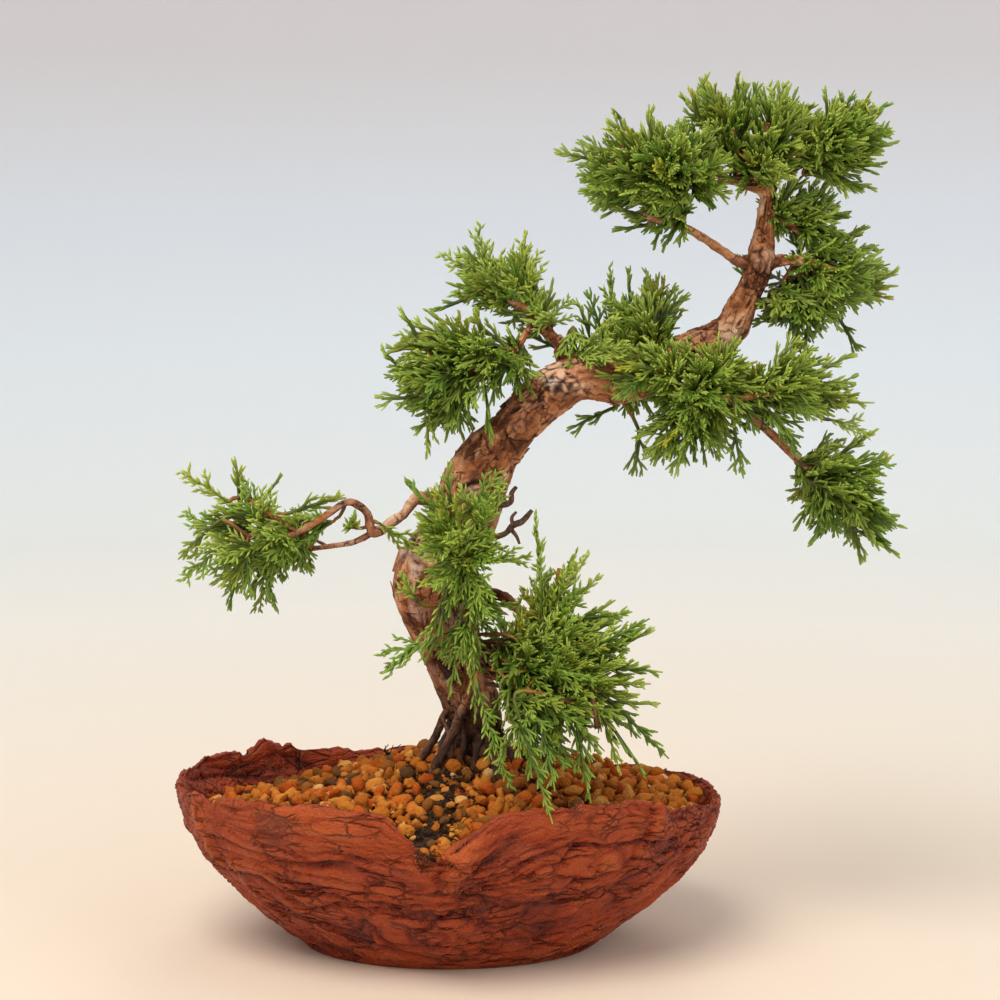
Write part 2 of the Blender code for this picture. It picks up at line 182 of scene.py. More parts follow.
# Old pruning scars and swellings: place, radius, rise, the depth of the hollow, and how pale its callus is
KNOTS = [
    ((5, -10, 163), 2.6, 0.9, 1.3, 1.0), ((13, -11, 163), 1.9, 0.6, 1.6, 0.0),
    ((23, -10, 172), 1.7, 1.3, 0.5, 0.0), ((27, -11, 182), 1.7, 1.2, 0.3, 0.2),
    ((35, -12, 184), 2.6, 1.2, 1.2, 0.0), ((33, -12, 186), 2.2, 0.9, 0.0, 0.9),
    ((39, -11, 185), 2.2, 1.0, 0.8, 0.0), ((30, -11, 187), 1.6, 0.8, 0.8, 0.0),
    ((30, -11, 178), 1.5, 0.7, 0.9, 0.0), ((102, 2, 224), 3.4, 1.3, 0.0, 0.3),
    ((93, -3, 209), 2.4, 0.7, 0.8, 0.0), ((-9, -4, 124), 3.4, 0.9, 0.9, 0.7),
    ((103, 3, 247), 2.4, 0.8, 0.0, 0.0), ((17, -11, 168), 1.5, 0.6, 0.8, 0.0),
    ((60, -8, 190), 2.4, 0.9, 0.6, 0.0), ((72, -4, 195), 2.0, 0.7, 0.5, 0.0),
    ((18, 9, 160), 3.0, 1.0, 1.0, 0.5), ((-2, 18, 112), 3.2, 0.9, 1.0, 0.5),
    ((30, 5, 184), 2.6, 1.0, 0.7, 0.0), ((8, -9, 152), 2.8, 0.9, 0.9, 0.4),
]
# Deep splits in the bark, as (start, end, width)
SPLITS = [
    ((12, -9, 174), (24, -10, 178), 0.7), ((26, -11, 183), (25, -6, 168), 0.5),
    ((16, -10, 170), (6, -8, 172), 0.5), ((33, -12, 180), (42, -11, 184), 0.6),
    ((0, -9, 150), (10, -10, 154), 0.6), ((22, -9, 163), (17, -10, 173), 0.5),
    ((38, -11, 189), (46, -9, 182), 0.5), ((-14, -6, 120), (-8, -8, 108), 0.7),
    ((-12, -5, 128), (0, -9, 122), 0.6), ((95, 0, 206), (90, -1, 199), 0.4),
    ((99, 1, 216), (95, 1, 208), 0.4), ((12, -9, 148), (19, -7, 160), 0.6),
]


class Lobe:
    """One lobe of a foliage mass: an ellipsoid, the point its sprays radiate from, and about how many."""

    def __init__(self, centre, half, source, sprays):
        self.centre = np.array(centre, float)
        self.half = np.array(half, float)
        self.source = np.array(source, float)
        self.sprays = sprays


# The masses, each with the kind of growth that most of its sprays are, and its lobes
FOLIAGE = {
    "foliage_crown_left": ("cords", [
        Lobe((65, -6, 255), (27, 30, 18), (78, -4, 246), 150),
        Lobe((45, -8, 254), (12, 18, 9), (66, -6, 251), 24),
        Lobe((66, -10, 239), (13, 15, 10), (77, -7, 239), 20)]),
    "foliage_crown_top": ("cords", [
        Lobe((84, 2, 271), (13, 19, 13), (94, 2, 253), 54),
        Lobe((105, 2, 266), (13, 20, 17), (102, 2, 249), 60),
        Lobe((97, -5, 259), (13, 14, 10), (101, 2, 246), 30)]),
    "foliage_crown_right": ("cords", [
        Lobe((128, 3, 267), (15, 22, 13), (112, 3, 253), 84),
        Lobe((133, 2, 255), (9, 14, 9), (113, 3, 255), 20)]),
    "foliage_right_upper": ("cords", [
        Lobe((122, 12, 236), (14, 18, 11), (109, 8, 236), 50),
        Lobe((127, 8, 218), (17, 22, 15), (110, 6, 222), 78),
        Lobe((139, 6, 216), (8, 10, 8), (124, 7, 217), 8),
        Lobe((114, 8, 210), (12, 16, 9), (108, 6, 221), 24),
        Lobe((112, 6, 241), (11, 14, 13), (104, 4, 238), 30),
        Lobe((116, 4, 203), (18, 14, 8), (110, 6, 216), 24),
        Lobe((134, -8, 219), (9, 9, 8), (122, -3, 221), 14)]),
    "foliage_mid_left_upper": ("needles", [
        Lobe((15, 10, 220), (16, 18, 13), (29, 6, 207), 56),
        Lobe((26, 8, 212), (8, 14, 11), (33, 4, 200), 26),
        Lobe((5, 12, 223), (8, 9, 7), (20, 9, 213), 8),
        Lobe((49, -12, 195), (14, 7, 8), (36, -2, 203), 20)]),
    "foliage_mid_left_lower": ("cords", [
        Lobe((-6, -8, 190), (16, 20, 17), (16, -5, 195), 84),
        Lobe((11, -10, 191), (17, 19, 12), (24, -2, 198), 44),
        Lobe((-5, -6, 174), (12, 14, 9), (10, -7, 190), 24)]),
    "foliage_mid_centre": ("cords", [
        Lobe((66, 10, 206), (13, 18, 17), (64, 4, 184), 62),
        Lobe((56, 8, 200), (13, 16, 11), (62, 4, 186), 30),
        Lobe((66, 20, 184), (14, 18, 16), (60, 8, 196), 30),
        Lobe((62, 36, 202), (13, 13, 14), (56, 22, 190), 36)]),
    "foliage_mid_right": ("cords", [
        Lobe((84, -14, 181), (23, 24, 16), (76, -11, 186), 100),
        Lobe((110, -10, 185), (22, 24, 13), (90, -13, 183), 76),
        Lobe((82, -14, 168), (14, 18, 12), (80, -12, 183), 30),
        Lobe((67, -14, 167), (9, 10, 12), (80, -12, 184), 20),
        Lobe((63, -18, 191), (14, 9, 11), (77, -12, 187), 42),
        Lobe((84, -18, 194), (14, 9, 9), (86, -13, 184), 30)]),
    "foliage_hanging_right": ("cords", [
        Lobe((129, -10, 150), (16, 19, 13), (113, -9, 160), 62),
        Lobe((132, -10, 140), (14, 16, 11), (119, -9, 157), 44),
        Lobe((121, -10, 158), (8, 10, 8), (110, -9, 160), 10)]),
    "foliage_low_left": ("needles", [
        Lobe((-67, -8, 134), (20, 22, 11), (-44, -12, 139), 50),
        Lobe((-70, -10, 149), (12, 14, 12), (-56, -12, 138), 20),
        Lobe((-42, -8, 139), (15, 12, 6), (-30, -8, 139), 14),
        Lobe((-70, -8, 119), (11, 14, 9), (-54, -8, 135), 20),
        Lobe((-56, 8, 128), (11, 9, 9), (-42, 6, 131), 21)]),
    "foliage_trunk_front": ("needles", [
        Lobe((4, -27, 143), (18, 10, 15), (6, -17, 128), 54),
        Lobe((1, -27, 120), (16, 10, 16), (8, -16, 132), 36),
        Lobe((9, -27, 100), (9, 9, 13), (8, -17, 124), 18)]),
    "foliage_low_right": ("cords", [
        Lobe((42, -21, 104), (25, 22, 18), (13, -14, 97), 104),
        Lobe((38, -12, 122), (8, 12, 17), (30, -12, 106), 24),
        Lobe((51, -34, 89), (16, 20, 15), (14, -14, 95), 56),
        Lobe((37, -44, 84), (12, 17, 18), (13, -14, 98), 38),
        Lobe((33, -60, 73), (5, 9, 12), (20, -34, 92), 6)]),
}
# Long shoots that stand out of each mass, as (foot, tip), and that give it its outline
LEADERS = {
    "foliage_low_right": [
        ((21, -50, 91), (33, -68, 57)), ((17, -40, 92), (29, -52, 69)), ((35, -40, 92), (48, -50, 71)),
        ((45, -36, 95), (55, -48, 67)), ((48, -36, 91), (70, -42, 71)), ((49, -24, 100), (66, -28, 109)),
        ((45, -34, 88), (67, -38, 85)), ((30, -12, 119), (28, -12, 144)), ((34, -14, 116), (40, -16, 130)),
        ((36, -18, 110), (57, -22, 114)), ((10, -40, 92), (18, -48, 62)), ((26, -46, 90), (37, -58, 64)),
        ((40, -44, 86), (44, -56, 60)), ((48, -40, 86), (62, -46, 66)), ((47, -26, 96), (68, -32, 98)),
    ],
    "foliage_trunk_front": [
        ((-6, -24, 105), (-20, -30, 94)), ((-5, -22, 103), (-21, -26, 102)), ((0, -28, 122), (-3, -30, 98)),
        ((2, -24, 145), (-2, -26, 162)), ((-2, -24, 144), (-13, -28, 157)), ((7, -24, 147), (17, -26, 158)),
        ((4, -26, 112), (2, -28, 86)), ((14, -22, 130), (26, -24, 131)), ((-10, -20, 117), (-15, -22, 126)),
        ((8, -27, 108), (9, -30, 80)), ((-2, -27, 118), (-8, -30, 100)),
    ],
    "foliage_hanging_right": [
        ((127, -10, 148), (147, -8, 140)), ((129, -10, 142), (135, -10, 128)),
        ((128, -8, 151), (143, -6, 164)), ((120, -8, 159), (139, -6, 170)),
        ((122, -14, 149), (116, -16, 134)), ((132, -10, 138), (144, -12, 131)),
    ],
    "foliage_low_left": [
        ((-71, -12, 148), (-84, -16, 160)), ((-67, -8, 146), (-68, -8, 161)),
        ((-61, -8, 146), (-54, -4, 156)), ((-73, -14, 142), (-87, -18, 131)),
        ((-67, -10, 129), (-70, -12, 112)), ((-60, -8, 128), (-56, -6, 112)),
        ((-51, -12, 144), (-33, -10, 150)), ((-52, -10, 140), (-43, -8, 125)),
        ((-69, -6, 138), (-87, -2, 141)), ((-22, -8, 140), (-8, -8, 132)),
        ((-72, -12, 134), (-86, -14, 122)), ((-64, -16, 134), (-64, -22, 118)),
    ],
    "foliage_mid_left_lower": [
        ((-9, -8, 199), (-15, -8, 211)), ((-9, -10, 182), (-23, -14, 178)), ((-6, -8, 177), (-7, -8, 162)),
        ((7, -12, 187), (2, -14, 171)), ((-14, -4, 189), (-22, -4, 196)), ((12, -12, 184), (14, -14, 168)),
    ],
    "foliage_mid_left_upper": [
        ((13, 10, 219), (10, 10, 235)), ((23, 10, 218), (26, 10, 233)), ((4, 8, 211), (-6, 8, 207)),
        ((10, 12, 221), (-3, 12, 225)),
    ],
    "foliage_mid_centre": [
        ((48, 16, 193), (42, 10, 212)), ((54, 22, 197), (53, 20, 222)), ((65, 24, 201), (66, 24, 220)),
        ((73, 26, 200), (76, 26, 210)), ((53, 6, 176), (38, 0, 170)), ((62, 8, 169), (63, 6, 153)),
        ((36, 12, 195), (23, 6, 202)), ((52, 14, 192), (47, 10, 215)), ((60, 24, 198), (60, 24, 221)),
    ],
    "foliage_mid_right": [
        ((106, -12, 181), (136, -8, 178)), ((113, -8, 185), (130, -4, 197)),
        ((91, -18, 172), (93, -20, 158)), ((77, -20, 172), (70, -24, 159)),
        ((122, -10, 174), (135, -8, 172)), ((106, -16, 171), (112, -18, 164)),
        ((67, -20, 191), (56, -26, 191)), ((110, -10, 180), (132, -8, 186)),
    ],
    "foliage_right_upper": [
        ((129, 8, 211), (145, 6, 222)), ((130, 6, 215), (137, 4, 211)), ((114, 8, 206), (100, 8, 204)),
        ((127, 8, 205), (134, 6, 195)), ((123, 12, 227), (136, 12, 235)), ((121, 6, 202), (110, 2, 197)),
        ((100, 8, 212), (94, 6, 226)),
    ],
    "foliage_crown_left": [
        ((48, -12, 256), (35, -14, 259)), ((64, -8, 236), (53, -8, 234)), ((61, -4, 239), (54, -2, 242)),
        ((69, -8, 239), (65, -10, 228)), ((55, -6, 269), (52, -6, 273)), ((80, -4, 269), (77, -4, 278)),
    ],
    "foliage_crown_top": [
        ((96, 2, 263), (95, 2, 283)), ((87, -2, 266), (79, -4, 282)), ((105, 4, 264), (106, 4, 281)),
        ((101, 8, 256), (92, 8, 274)),
    ],
    "foliage_crown_right": [
        ((122, 2, 261), (121, 2, 280)), ((127, 2, 262), (142, 0, 273)), ((121, 0, 255), (140, -2, 253)),
        ((117, 0, 252), (136, -4, 246)), ((127, 4, 261), (134, 4, 278)),
    ],
}
# The stems that carry each mass
FOLIAGE_STEMS = {
    "foliage_crown_left": ["stem_crown_left", "stem_crown_low_left"],
    "foliage_crown_top": ["stem_crown_left"],
    "foliage_crown_right": ["stem_crown_upper_right"],
    "foliage_right_upper": ["stem_crown_right", "stem_right_upper", "stem_crown_upper_right"],
    "foliage_mid_left_upper": ["stem_mid_left"],
    "foliage_mid_left_lower": ["stem_mid_left"],
    "foliage_mid_centre": ["stem_back"],
    "foliage_mid_right": ["stem_mid_right"],
    "foliage_hanging_right": ["stem_hanging_right"],
    "foliage_low_left": ["stem_low_left"],
    "foliage_trunk_front": ["stem_trunk_front"],
    "foliage_low_right": ["stem_low_right", "stem_trunk_front"],
}


# ---------------------------------------------------------------- noise, in plain arrays

def hashed(cells, seed):
    """A repeatable number from 0 to 1 for each whole-number cell."""
    stir, word = np.uint64(1274126177), np.uint64(0xFFFFFFFF)
    mixed = np.full(len(cells), (seed * int(stir) + 97) & int(word), np.uint64)
    for axis, prime in enumerate((374761393, 668265263, 2147483647)):
        column = cells[:, axis].astype(np.int64).astype(np.uint64)
        mixed ^= (column * np.uint64(prime)) & word
        mixed = ((mixed ^ (mixed >> np.uint64(13))) * stir) & word
    mixed ^= mixed >> np.uint64(16)
    return (mixed & np.uint64(0xFFFFFF)).astype(float) / 0xFFFFFF


def noise(places, seed=0):
    """Smooth noise from -1 to 1 with features one unit wide."""
    floor = np.floor(places)
    part = places - floor
    part = part * part * (3 - 2 * part)
    total = np.zeros(len(places))
    for corner in np.ndindex(2, 2, 2):
        weight = np.prod(np.where(corner, part, 1 - part), axis=1)
        total += weight * hashed(floor + corner, seed)
    return 2 * total - 1


def layered(places, seed=0, octaves=3):
    """Noise with finer and weaker layers on top."""
    total = np.zeros(len(places))
    for octave in range(octaves):
        total += noise(places * 2 ** octave, seed + octave) / 2 ** octave
    return total / 1.5


def ridged(places, seed=0):
    """Noise with sharp crests at 1 and round valleys at 0."""
    return 1 - np.abs(noise(places, seed))


def cracked(places, seed=0):
    """Distance to the nearest cell border, and the cell's own number from 0 to 1."""
    floor = np.floor(places)
    nearest = np.full(len(places), 9.0)
    second = np.full(len(places), 9.0)
    own = np.zeros(len(places))
    for step in np.ndindex(3, 3, 3):
        cell = floor + np.array(step) - 1
        spot = cell + np.stack([hashed(cell, seed + axis) for axis in range(3)], axis=1)
        gap = np.linalg.norm(spot - places, axis=1)
        closer = gap < nearest
        second = np.where(closer, nearest, np.minimum(second, gap))
        own = np.where(closer, hashed(cell, seed + 7), own)
        nearest = np.where(closer, gap, nearest)
    return second - nearest, own


def bell(distance, width):
    """1 at no distance, falling off smoothly over a width."""
    return np.exp(-(distance / width) ** 2)


def smoothstep(value, low, high):
    """0 below low, 1 above high, and a smooth step between them."""
    t = np.clip((value - low) / (high - low), 0, 1)
    return t * t * (3 - 2 * t)


# ---------------------------------------------------------------- nodes and materials

def colour(code):
    """Linear colour of an sRGB hex code."""
    parts = [int(code[i:i + 2], 16) / 255 for i in (1, 3, 5)]
    return tuple(p / 12.92 if p <= 0.04045 else ((p + 0.055) / 1.055) ** 2.4 for p in parts) + (1.0,)


def add(tree, kind, inputs=None, **settings):
    """A node with its settings made and its inputs linked or set."""
    made = tree.nodes.new(kind)
    for name, value in settings.items():
        setattr(made, name, value)
    for name, value in (inputs or {}).items():
        if isinstance(value, bpy.types.NodeSocket):
            tree.links.new(value, made.inputs[name])
        else:
            made.inputs[name].default_value = value
    return made


def ramp(tree, factor, stops):
    """The colour of a ramp through (position, hex) stops."""
    made = add(tree, "ShaderNodeValToRGB", {"Fac": factor})
    elements = made.color_ramp.elements
    while len(elements) < len(stops):
        elements.new(0.5)
    for element, (position, code) in zip(elements, stops):
        element.position = position
        element.color = colour(code)
    return made.outputs["Color"]


def blended(tree, factor, first, second, kind="MIX"):
    """Two colours mixed by a factor."""
    made = add(tree, "ShaderNodeMix", data_type="RGBA", blend_type=kind)
    for index, value in ((0, factor), (6, first), (7, second)):
        if isinstance(value, bpy.types.NodeSocket):
            tree.links.new(value, made.inputs[index])
        else:
            made.inputs[index].default_value = value
    return made.outputs[2]


def scaled(tree, value, low, high):
    """A value from 0 to 1 spread between two others."""
    made = add(tree, "ShaderNodeMapRange", {"Value": value, "To Min": low, "To Max": high})
    return made.outputs["Result"]


def grain_noise(tree, width_mm, detail=3.0, stretch=(1, 1, 1)):
    """Noise on the object's own coordinates, with features about width_mm wide."""
    place = add(tree, "ShaderNodeTexCoord").outputs["Object"]
    mapped = add(tree, "ShaderNodeMapping", {"Vector": place, "Scale": stretch})
    made = add(tree, "ShaderNodeTexNoise",
               {"Vector": mapped.outputs["Vector"], "Scale": 1 / (width_mm * MM), "Detail": detail})
    return made.outputs["Fac"]


def plates(tree, width_mm, stretch, line, wander_share=0.9):
    """Plates about width_mm wide: 1 in the wandering cracks between them, and one value per plate."""
    place = add(tree, "ShaderNodeTexCoord").outputs["Object"]
    wander = add(tree, "ShaderNodeTexNoise",
                 {"Vector": place, "Scale": 1 / (0.8 * width_mm * MM), "Detail": 4.0})
    bent = add(tree, "ShaderNodeVectorMath",
               {0: wander.outputs["Color"], 1: (wander_share * width_mm * MM,) * 3, 2: place},
               operation="MULTIPLY_ADD")
    mapped = add(tree, "ShaderNodeMapping", {"Vector": bent.outputs[0], "Scale": stretch}).outputs["Vector"]
    inputs = {"Vector": mapped, "Scale": 1 / (width_mm * MM)}
    edge = add(tree, "ShaderNodeTexVoronoi", inputs, feature="DISTANCE_TO_EDGE").outputs["Distance"]
    crack = add(tree, "ShaderNodeMapRange", {"Value": edge, "From Max": line, "To Min": 1.0, "To Max": 0.0})
    own = add(tree, "ShaderNodeTexVoronoi", inputs).outputs["Color"]
    return crack.outputs["Result"], add(tree, "ShaderNodeSeparateColor", {0: own}).outputs[0]


def new_material(name, roughness, specular=0.5):
    """A Principled material of one roughness and specular level, its tree and its shader."""
    made = bpy.data.materials.new(name)
    made.use_nodes = True
    tree = made.node_tree
    shader = tree.nodes["Principled BSDF"]
    shader.inputs["Roughness"].default_value = roughness
    shader.inputs["Specular IOR Level"].default_value = specular
    return made, tree, shader


def raise_surface(tree, shader, height, depth_mm):
    """Fine relief of a given depth on a shader."""
    bump = add(tree, "ShaderNodeBump", {"Height": height, "Strength": 1.0, "Distance": depth_mm * MM})
    tree.links.new(bump.outputs["Normal"], shader.inputs["Normal"])


def attribute(tree, name):
    """A value that the mesh keeps at its points."""
    return add(tree, "ShaderNodeAttribute", attribute_name=name).outputs["Fac"]


def kept_pair(tree):
    """The two values that a piece keeps in its UV map."""
    kept = add(tree, "ShaderNodeUVMap", uv_map="OFBake").outputs["UV"]
    pair = add(tree, "ShaderNodeSeparateXYZ", {0: kept})
    return pair.outputs["X"], pair.outputs["Y"]


def fired_stoneware():
    """Wood-fired stoneware, torn by hand, unglazed: iron-red, with painted highlight on the crests, painted
    shade in each furrow and crack, painted glints, and purple-grey flashing.
    """
    made, tree, shader = new_material("fired_stoneware", 0.42, 0.3)
    # Relief paints shade into grooves, cracks and crumpled ends and highlight onto crests, besides each
    # plate's own tone
    relief = attribute(tree, "relief")
    clay = ramp(tree, relief, [(0.0, "#481006"), (0.22, "#7c260a"), (0.45, "#9e3a0e"), (0.62, "#a24010"),
                               (0.8, "#b6541c"), (1.0, "#cc783a")])
    flash = ramp(tree, grain_noise(tree, 15, 4, (0.5, 1, 1.5)), [(0.5, "#000000"), (0.66, "#ffffff")])
    clay = blended(tree, scaled(tree, flash, 0.0, 0.28), clay, colour("#7a3428"))
    rust = ramp(tree, grain_noise(tree, 5, 5), [(0.45, "#000000"), (0.7, "#ffffff")])
    clay = blended(tree, scaled(tree, rust, 0.0, 0.35), clay, colour("#a24c22"))
    wide, _ = plates(tree, 8, (0.15, 1, 1), 0.04, 0.35)
    thin, _ = plates(tree, 4, (0.16, 1, 1), 0.06, 0.4)
    cracks = add(tree, "ShaderNodeMath", {0: wide, 1: thin}, operation="MAXIMUM").outputs[0]
    patchy = ramp(tree, grain_noise(tree, 12, 2), [(0.42, "#000000"), (0.58, "#ffffff")])
    cracks = add(tree, "ShaderNodeMath", {0: cracks, 1: patchy}, operation="MULTIPLY").outputs[0]
    # Painted shade: the cracks between the torn plates are darkened
    clay = blended(tree, scaled(tree, cracks, 0.0, 0.5), clay, colour("#3a1008"))
    # Painted glints: small light specks that stand in for the clay's sparkles
    painted_glints = ramp(tree, grain_noise(tree, 0.9, 2), [(0.68, "#000000"), (0.76, "#ffffff")])
    clay = blended(tree, scaled(tree, painted_glints, 0.0, 0.3), clay, colour("#d09a70"))
    tree.links.new(clay, shader.inputs["Base Color"])
    tree.links.new(scaled(tree, grain_noise(tree, 4, 4), 0.28, 0.55), shader.inputs["Roughness"])
    pitted = add(tree, "ShaderNodeMath",
                 {0: grain_noise(tree, 2.6, 6, (0.4, 1, 1)), 1: grain_noise(tree, 0.8, 3)}, operation="ADD")
    cut = add(tree, "ShaderNodeMath", {0: cracks, 1: -1.3, 2: pitted.outputs[0]}, operation="MULTIPLY_ADD")
    raise_surface(tree, shader, cut.outputs[0], 0.8)
    return made


def juniper_bark(name, stops, grooves, dead=0.0):
    """Flaking juniper bark: tan and red-brown plates, lighter where they stand out as painted highlight, with
    painted shade in the splits and cracks between them, under a weathered pink-grey skin, and darker towards
    the soil.

    Dead is how far the colour goes to bare brown wood.
    """
    made, tree, shader = new_material(name, 0.74, 0.35)
    fibres = grain_noise(tree, 1.1, 4)
    wide, plate = plates(tree, 8, (1, 1, 1), 0.045)
    thin, flake = plates(tree, 3.4, (1, 1, 1), 0.05)
    loose = ramp(tree, grain_noise(tree, 9, 2), [(0.5, "#000000"), (0.58, "#ffffff")])
    loose_thin = ramp(tree, grain_noise(tree, 6, 2), [(0.56, "#000000"), (0.64, "#ffffff")])
    wide = add(tree, "ShaderNodeMath", {0: wide, 1: loose}, operation="MULTIPLY").outputs[0]
    thin = add(tree, "ShaderNodeMath", {0: thin, 1: loose_thin}, operation="MULTIPLY").outputs[0]
    cracks = add(tree, "ShaderNodeMath", {0: wide, 1: thin}, operation="MAXIMUM").outputs[0]
    # Tone holds painted highlight on raised bark and painted shade in its hollows, besides its own mottling
    shade = attribute(tree, "tone")
    for value, spread in ((fibres, 0.24), (plate, 0.1), (flake, 0.1)):
        shade = add(tree, "ShaderNodeMath", {0: shade, 1: scaled(tree, value, -spread, spread)},
                    operation="ADD").outputs[0]
    bark = ramp(tree, shade, stops)
    skin = ramp(tree, shade, [(0.1, "#54403a"), (0.45, "#a58273"), (0.8, "#d2bcb0")])
    bark = blended(tree, attribute(tree, "weathered"), bark, skin)
    # Painted shade: splits, knot hollows and the valleys between strips, then the cracks between plates, take
    # the groove colour
    bark = blended(tree, attribute(tree, "split"), bark, colour(grooves))
    bark = blended(tree, scaled(tree, cracks, 0.0, 0.85), bark, colour(grooves))
    # Darker towards the soil
    near_soil_tones = ramp(tree, shade, [(0.25, "#130b08"), (0.5, "#2e1b13"), (0.85, "#65402d")])
    bark = blended(tree, attribute(tree, "damp"), bark, near_soil_tones)
    if dead:
        bark = blended(tree, dead, bark, colour("#7a5644"))
    tree.links.new(bark, shader.inputs["Base Color"])
    height = add(tree, "ShaderNodeMath", {0: cracks, 1: -0.9, 2: grain_noise(tree, 0.9, 6)},
                 operation="MULTIPLY_ADD").outputs[0]
    height = add(tree, "ShaderNodeMath", {0: flake, 1: 0.35, 2: height}, operation="MULTIPLY_ADD").outputs[0]
    raise_surface(tree, shader, height, 0.6)
    return made


def akadama_clay():
    """Baked volcanic clay crumbs: matt, ochre to rust, with a few grey, olive and cream ones, and painted
    shade on the faces that look down.
    """
    made, tree, shader = new_material("akadama_clay", 0.92, 0.2)
    grain, up = kept_pair(tree)
    kind = ramp(tree, grain,
                [(0.0, "#4c3422"), (0.05, "#6a4a2a"), (0.12, "#8a5c28"), (0.22, "#a06022"),
                 (0.36, "#b46a1e"), (0.5, "#c87c2a"), (0.64, "#d68e3c"), (0.74, "#c96a24"),
                 (0.83, "#b45416"), (0.9, "#d69644"), (0.975, "#e2ae64"), (1.0, "#f0dcb4")])
    # Painted shade: darker on the faces that look down, lighter on those that look up
    underside_shade = ramp(tree, up, [(0.0, "#866c54"), (0.5, "#f4e8d8"), (1.0, "#fffaf0")])
    tree.links.new(blended(tree, 1.0, kind, underside_shade, "MULTIPLY"), shader.inputs["Base Color"])
    raise_surface(tree, shader, grain_noise(tree, 1.0, 6), 0.9)
    return made


def damp_peat():
    """Peat and rotted root fibre: nearly black, matt, with brown strands."""
    made, tree, shader = new_material("damp_peat", 0.95, 0.15)
    shade = ramp(tree, grain_noise(tree, 1.5, 5), [(0.3, "#1c130d"), (0.55, "#3c2a1c"), (0.8, "#6a4a30")])
    tree.links.new(shade, shader.inputs["Base Color"])
    raise_surface(tree, shader, grain_noise(tree, 0.8, 5), 0.6)
    return made


def dusty_bed():
    """Clay dust and small crumbs between the grains."""
    made, tree, shader = new_material("dusty_bed", 0.95, 0.15)
    shade = ramp(tree, grain_noise(tree, 1.6, 5), [(0.3, "#2e1f12"), (0.55, "#6b4420"), (0.8, "#9a6a34")])
    tree.links.new(shade, shader.inputs["Base Color"])
    raise_surface(tree, shader, grain_noise(tree, 1.2, 5), 0.8)
    return made


def strand_colours(name, stops, warm, roughness=0.55, specular=0.35):
    """A strand's colour from its woody end to its tip, with each spray a little warmer or cooler."""
    made, tree, shader = new_material(name, roughness, specular)
    age, own = kept_pair(tree)
    along = ramp(tree, age, stops)
    tint = ramp(tree, own, warm)
    tree.links.new(blended(tree, 1.0, along, tint, "MULTIPLY"), shader.inputs["Base Color"])
    return made


def juniper_sprays():
    """Living scale leaves: waxy olive green, brown at the twig and lime where they grew this year."""
    return strand_colours(
        "juniper_sprays",
        [(0.0, "#5c3a24"), (0.07, "#80502e"), (0.13, "#a2682e"), (0.19, "#7c7a2a"), (0.27, "#3a4c10"),
         (0.45, "#576b19"), (0.65, "#7f9332"), (0.85, "#a9bc4e"), (1.0, "#d2e074")],
        [(0.0, "#a9c8a0"), (0.3, "#d8eac4"), (0.7, "#ffffff"), (0.9, "#fff2ac"), (1.0, "#ffde90")],
        roughness=0.5, specular=0.4)


def root_fibre():
    """Fine dry roots and peat fibre, dark brown to straw."""
    return strand_colours(
        "root_fibre",
        [(0.0, "#1c1410"), (0.5, "#3a281b"), (1.0, "#6e5236")],
        [(0.0, "#8c8c8c"), (1.0, "#ffffff")], roughness=0.85, specular=0.2)


def dry_straw():
    """A bleached bit of straw."""
    return strand_colours(
        "dry_straw", [(0.0, "#a88a58"), (1.0, "#d6bd8a")], [(0.0, "#e8e8e8"), (1.0, "#ffffff")],
        roughness=0.7, specular=0.3)


# ---------------------------------------------------------------- mesh makers

def put(piece, material, slot, *nodes):
    """Gives a finished piece its material and body, and hides the CAD nodes that it stands for. Slot is not
    used.
    """
    piece.data.materials.clear()
    piece.data.materials.append(material)
    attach(piece, BODY)
    if nodes:
        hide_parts(*nodes)
    return piece


def link_mesh(name, mesh):
    """An object of a mesh, in the scene."""
    piece = bpy.data.objects.new(name, mesh)
    bpy.context.scene.collection.objects.link(piece)
    return piece


def grid_normals(grid):
    """Unit normals of a grid that closes on itself along its columns."""
    along = np.gradient(grid, axis=0)
    around = np.roll(grid, -1, axis=1) - np.roll(grid, 1, axis=1)
    normal = np.cross(around, along)
    return normal / np.maximum(np.linalg.norm(normal, axis=2, keepdims=True), 1e-9)


def displaced(grid, height):
    """The grid moved along its normals by a height for each point."""
    return grid + grid_normals(grid) * height[..., None]


def closed_grids(name, grids, fields):
    """One mesh of closed lofts. Each grid is (rows, columns, xyz) in mm, and fields name its point values."""
    points, faces, values = [], [], {key: [] for key in fields}
    start = 0
    for index, grid in enumerate(grids):
        rows, columns = grid.shape[:2]
        points.append(grid.reshape(-1, 3))
        points.append(np.stack([grid[0].mean(axis=0), grid[-1].mean(axis=0)]))
        for key in fields:
            field = fields[key][index]
            values[key] += [field.reshape(-1), [field[0].mean(), field[-1].mean()]]
        row, column = np.meshgrid(np.arange(rows - 1), np.arange(columns), indexing="ij")
        a = start + row * columns + column
        b = start + row * columns + (column + 1) % columns
        faces += np.stack([a, b, b + columns, a + columns], axis=-1).reshape(-1, 4).tolist()
        first = start + rows * columns
        last_row = start + (rows - 1) * columns
        for c in range(columns):
            after = (c + 1) % columns
            faces.append([first, start + after, start + c])
            faces.append([first + 1, last_row + c, last_row + after])
        start += rows * columns + 2
    mesh = bpy.data.meshes.new(name)
    mesh.from_pydata((np.concatenate(points) * MM).tolist(), [], faces)
    for key, parts in values.items():
        made = mesh.attributes.new(key, "FLOAT", "POINT")
        made.data.foreach_set("value", np.clip(np.concatenate(parts), 0, 1).astype(np.float32))
    mesh.shade_smooth()
    return link_mesh(name, mesh)


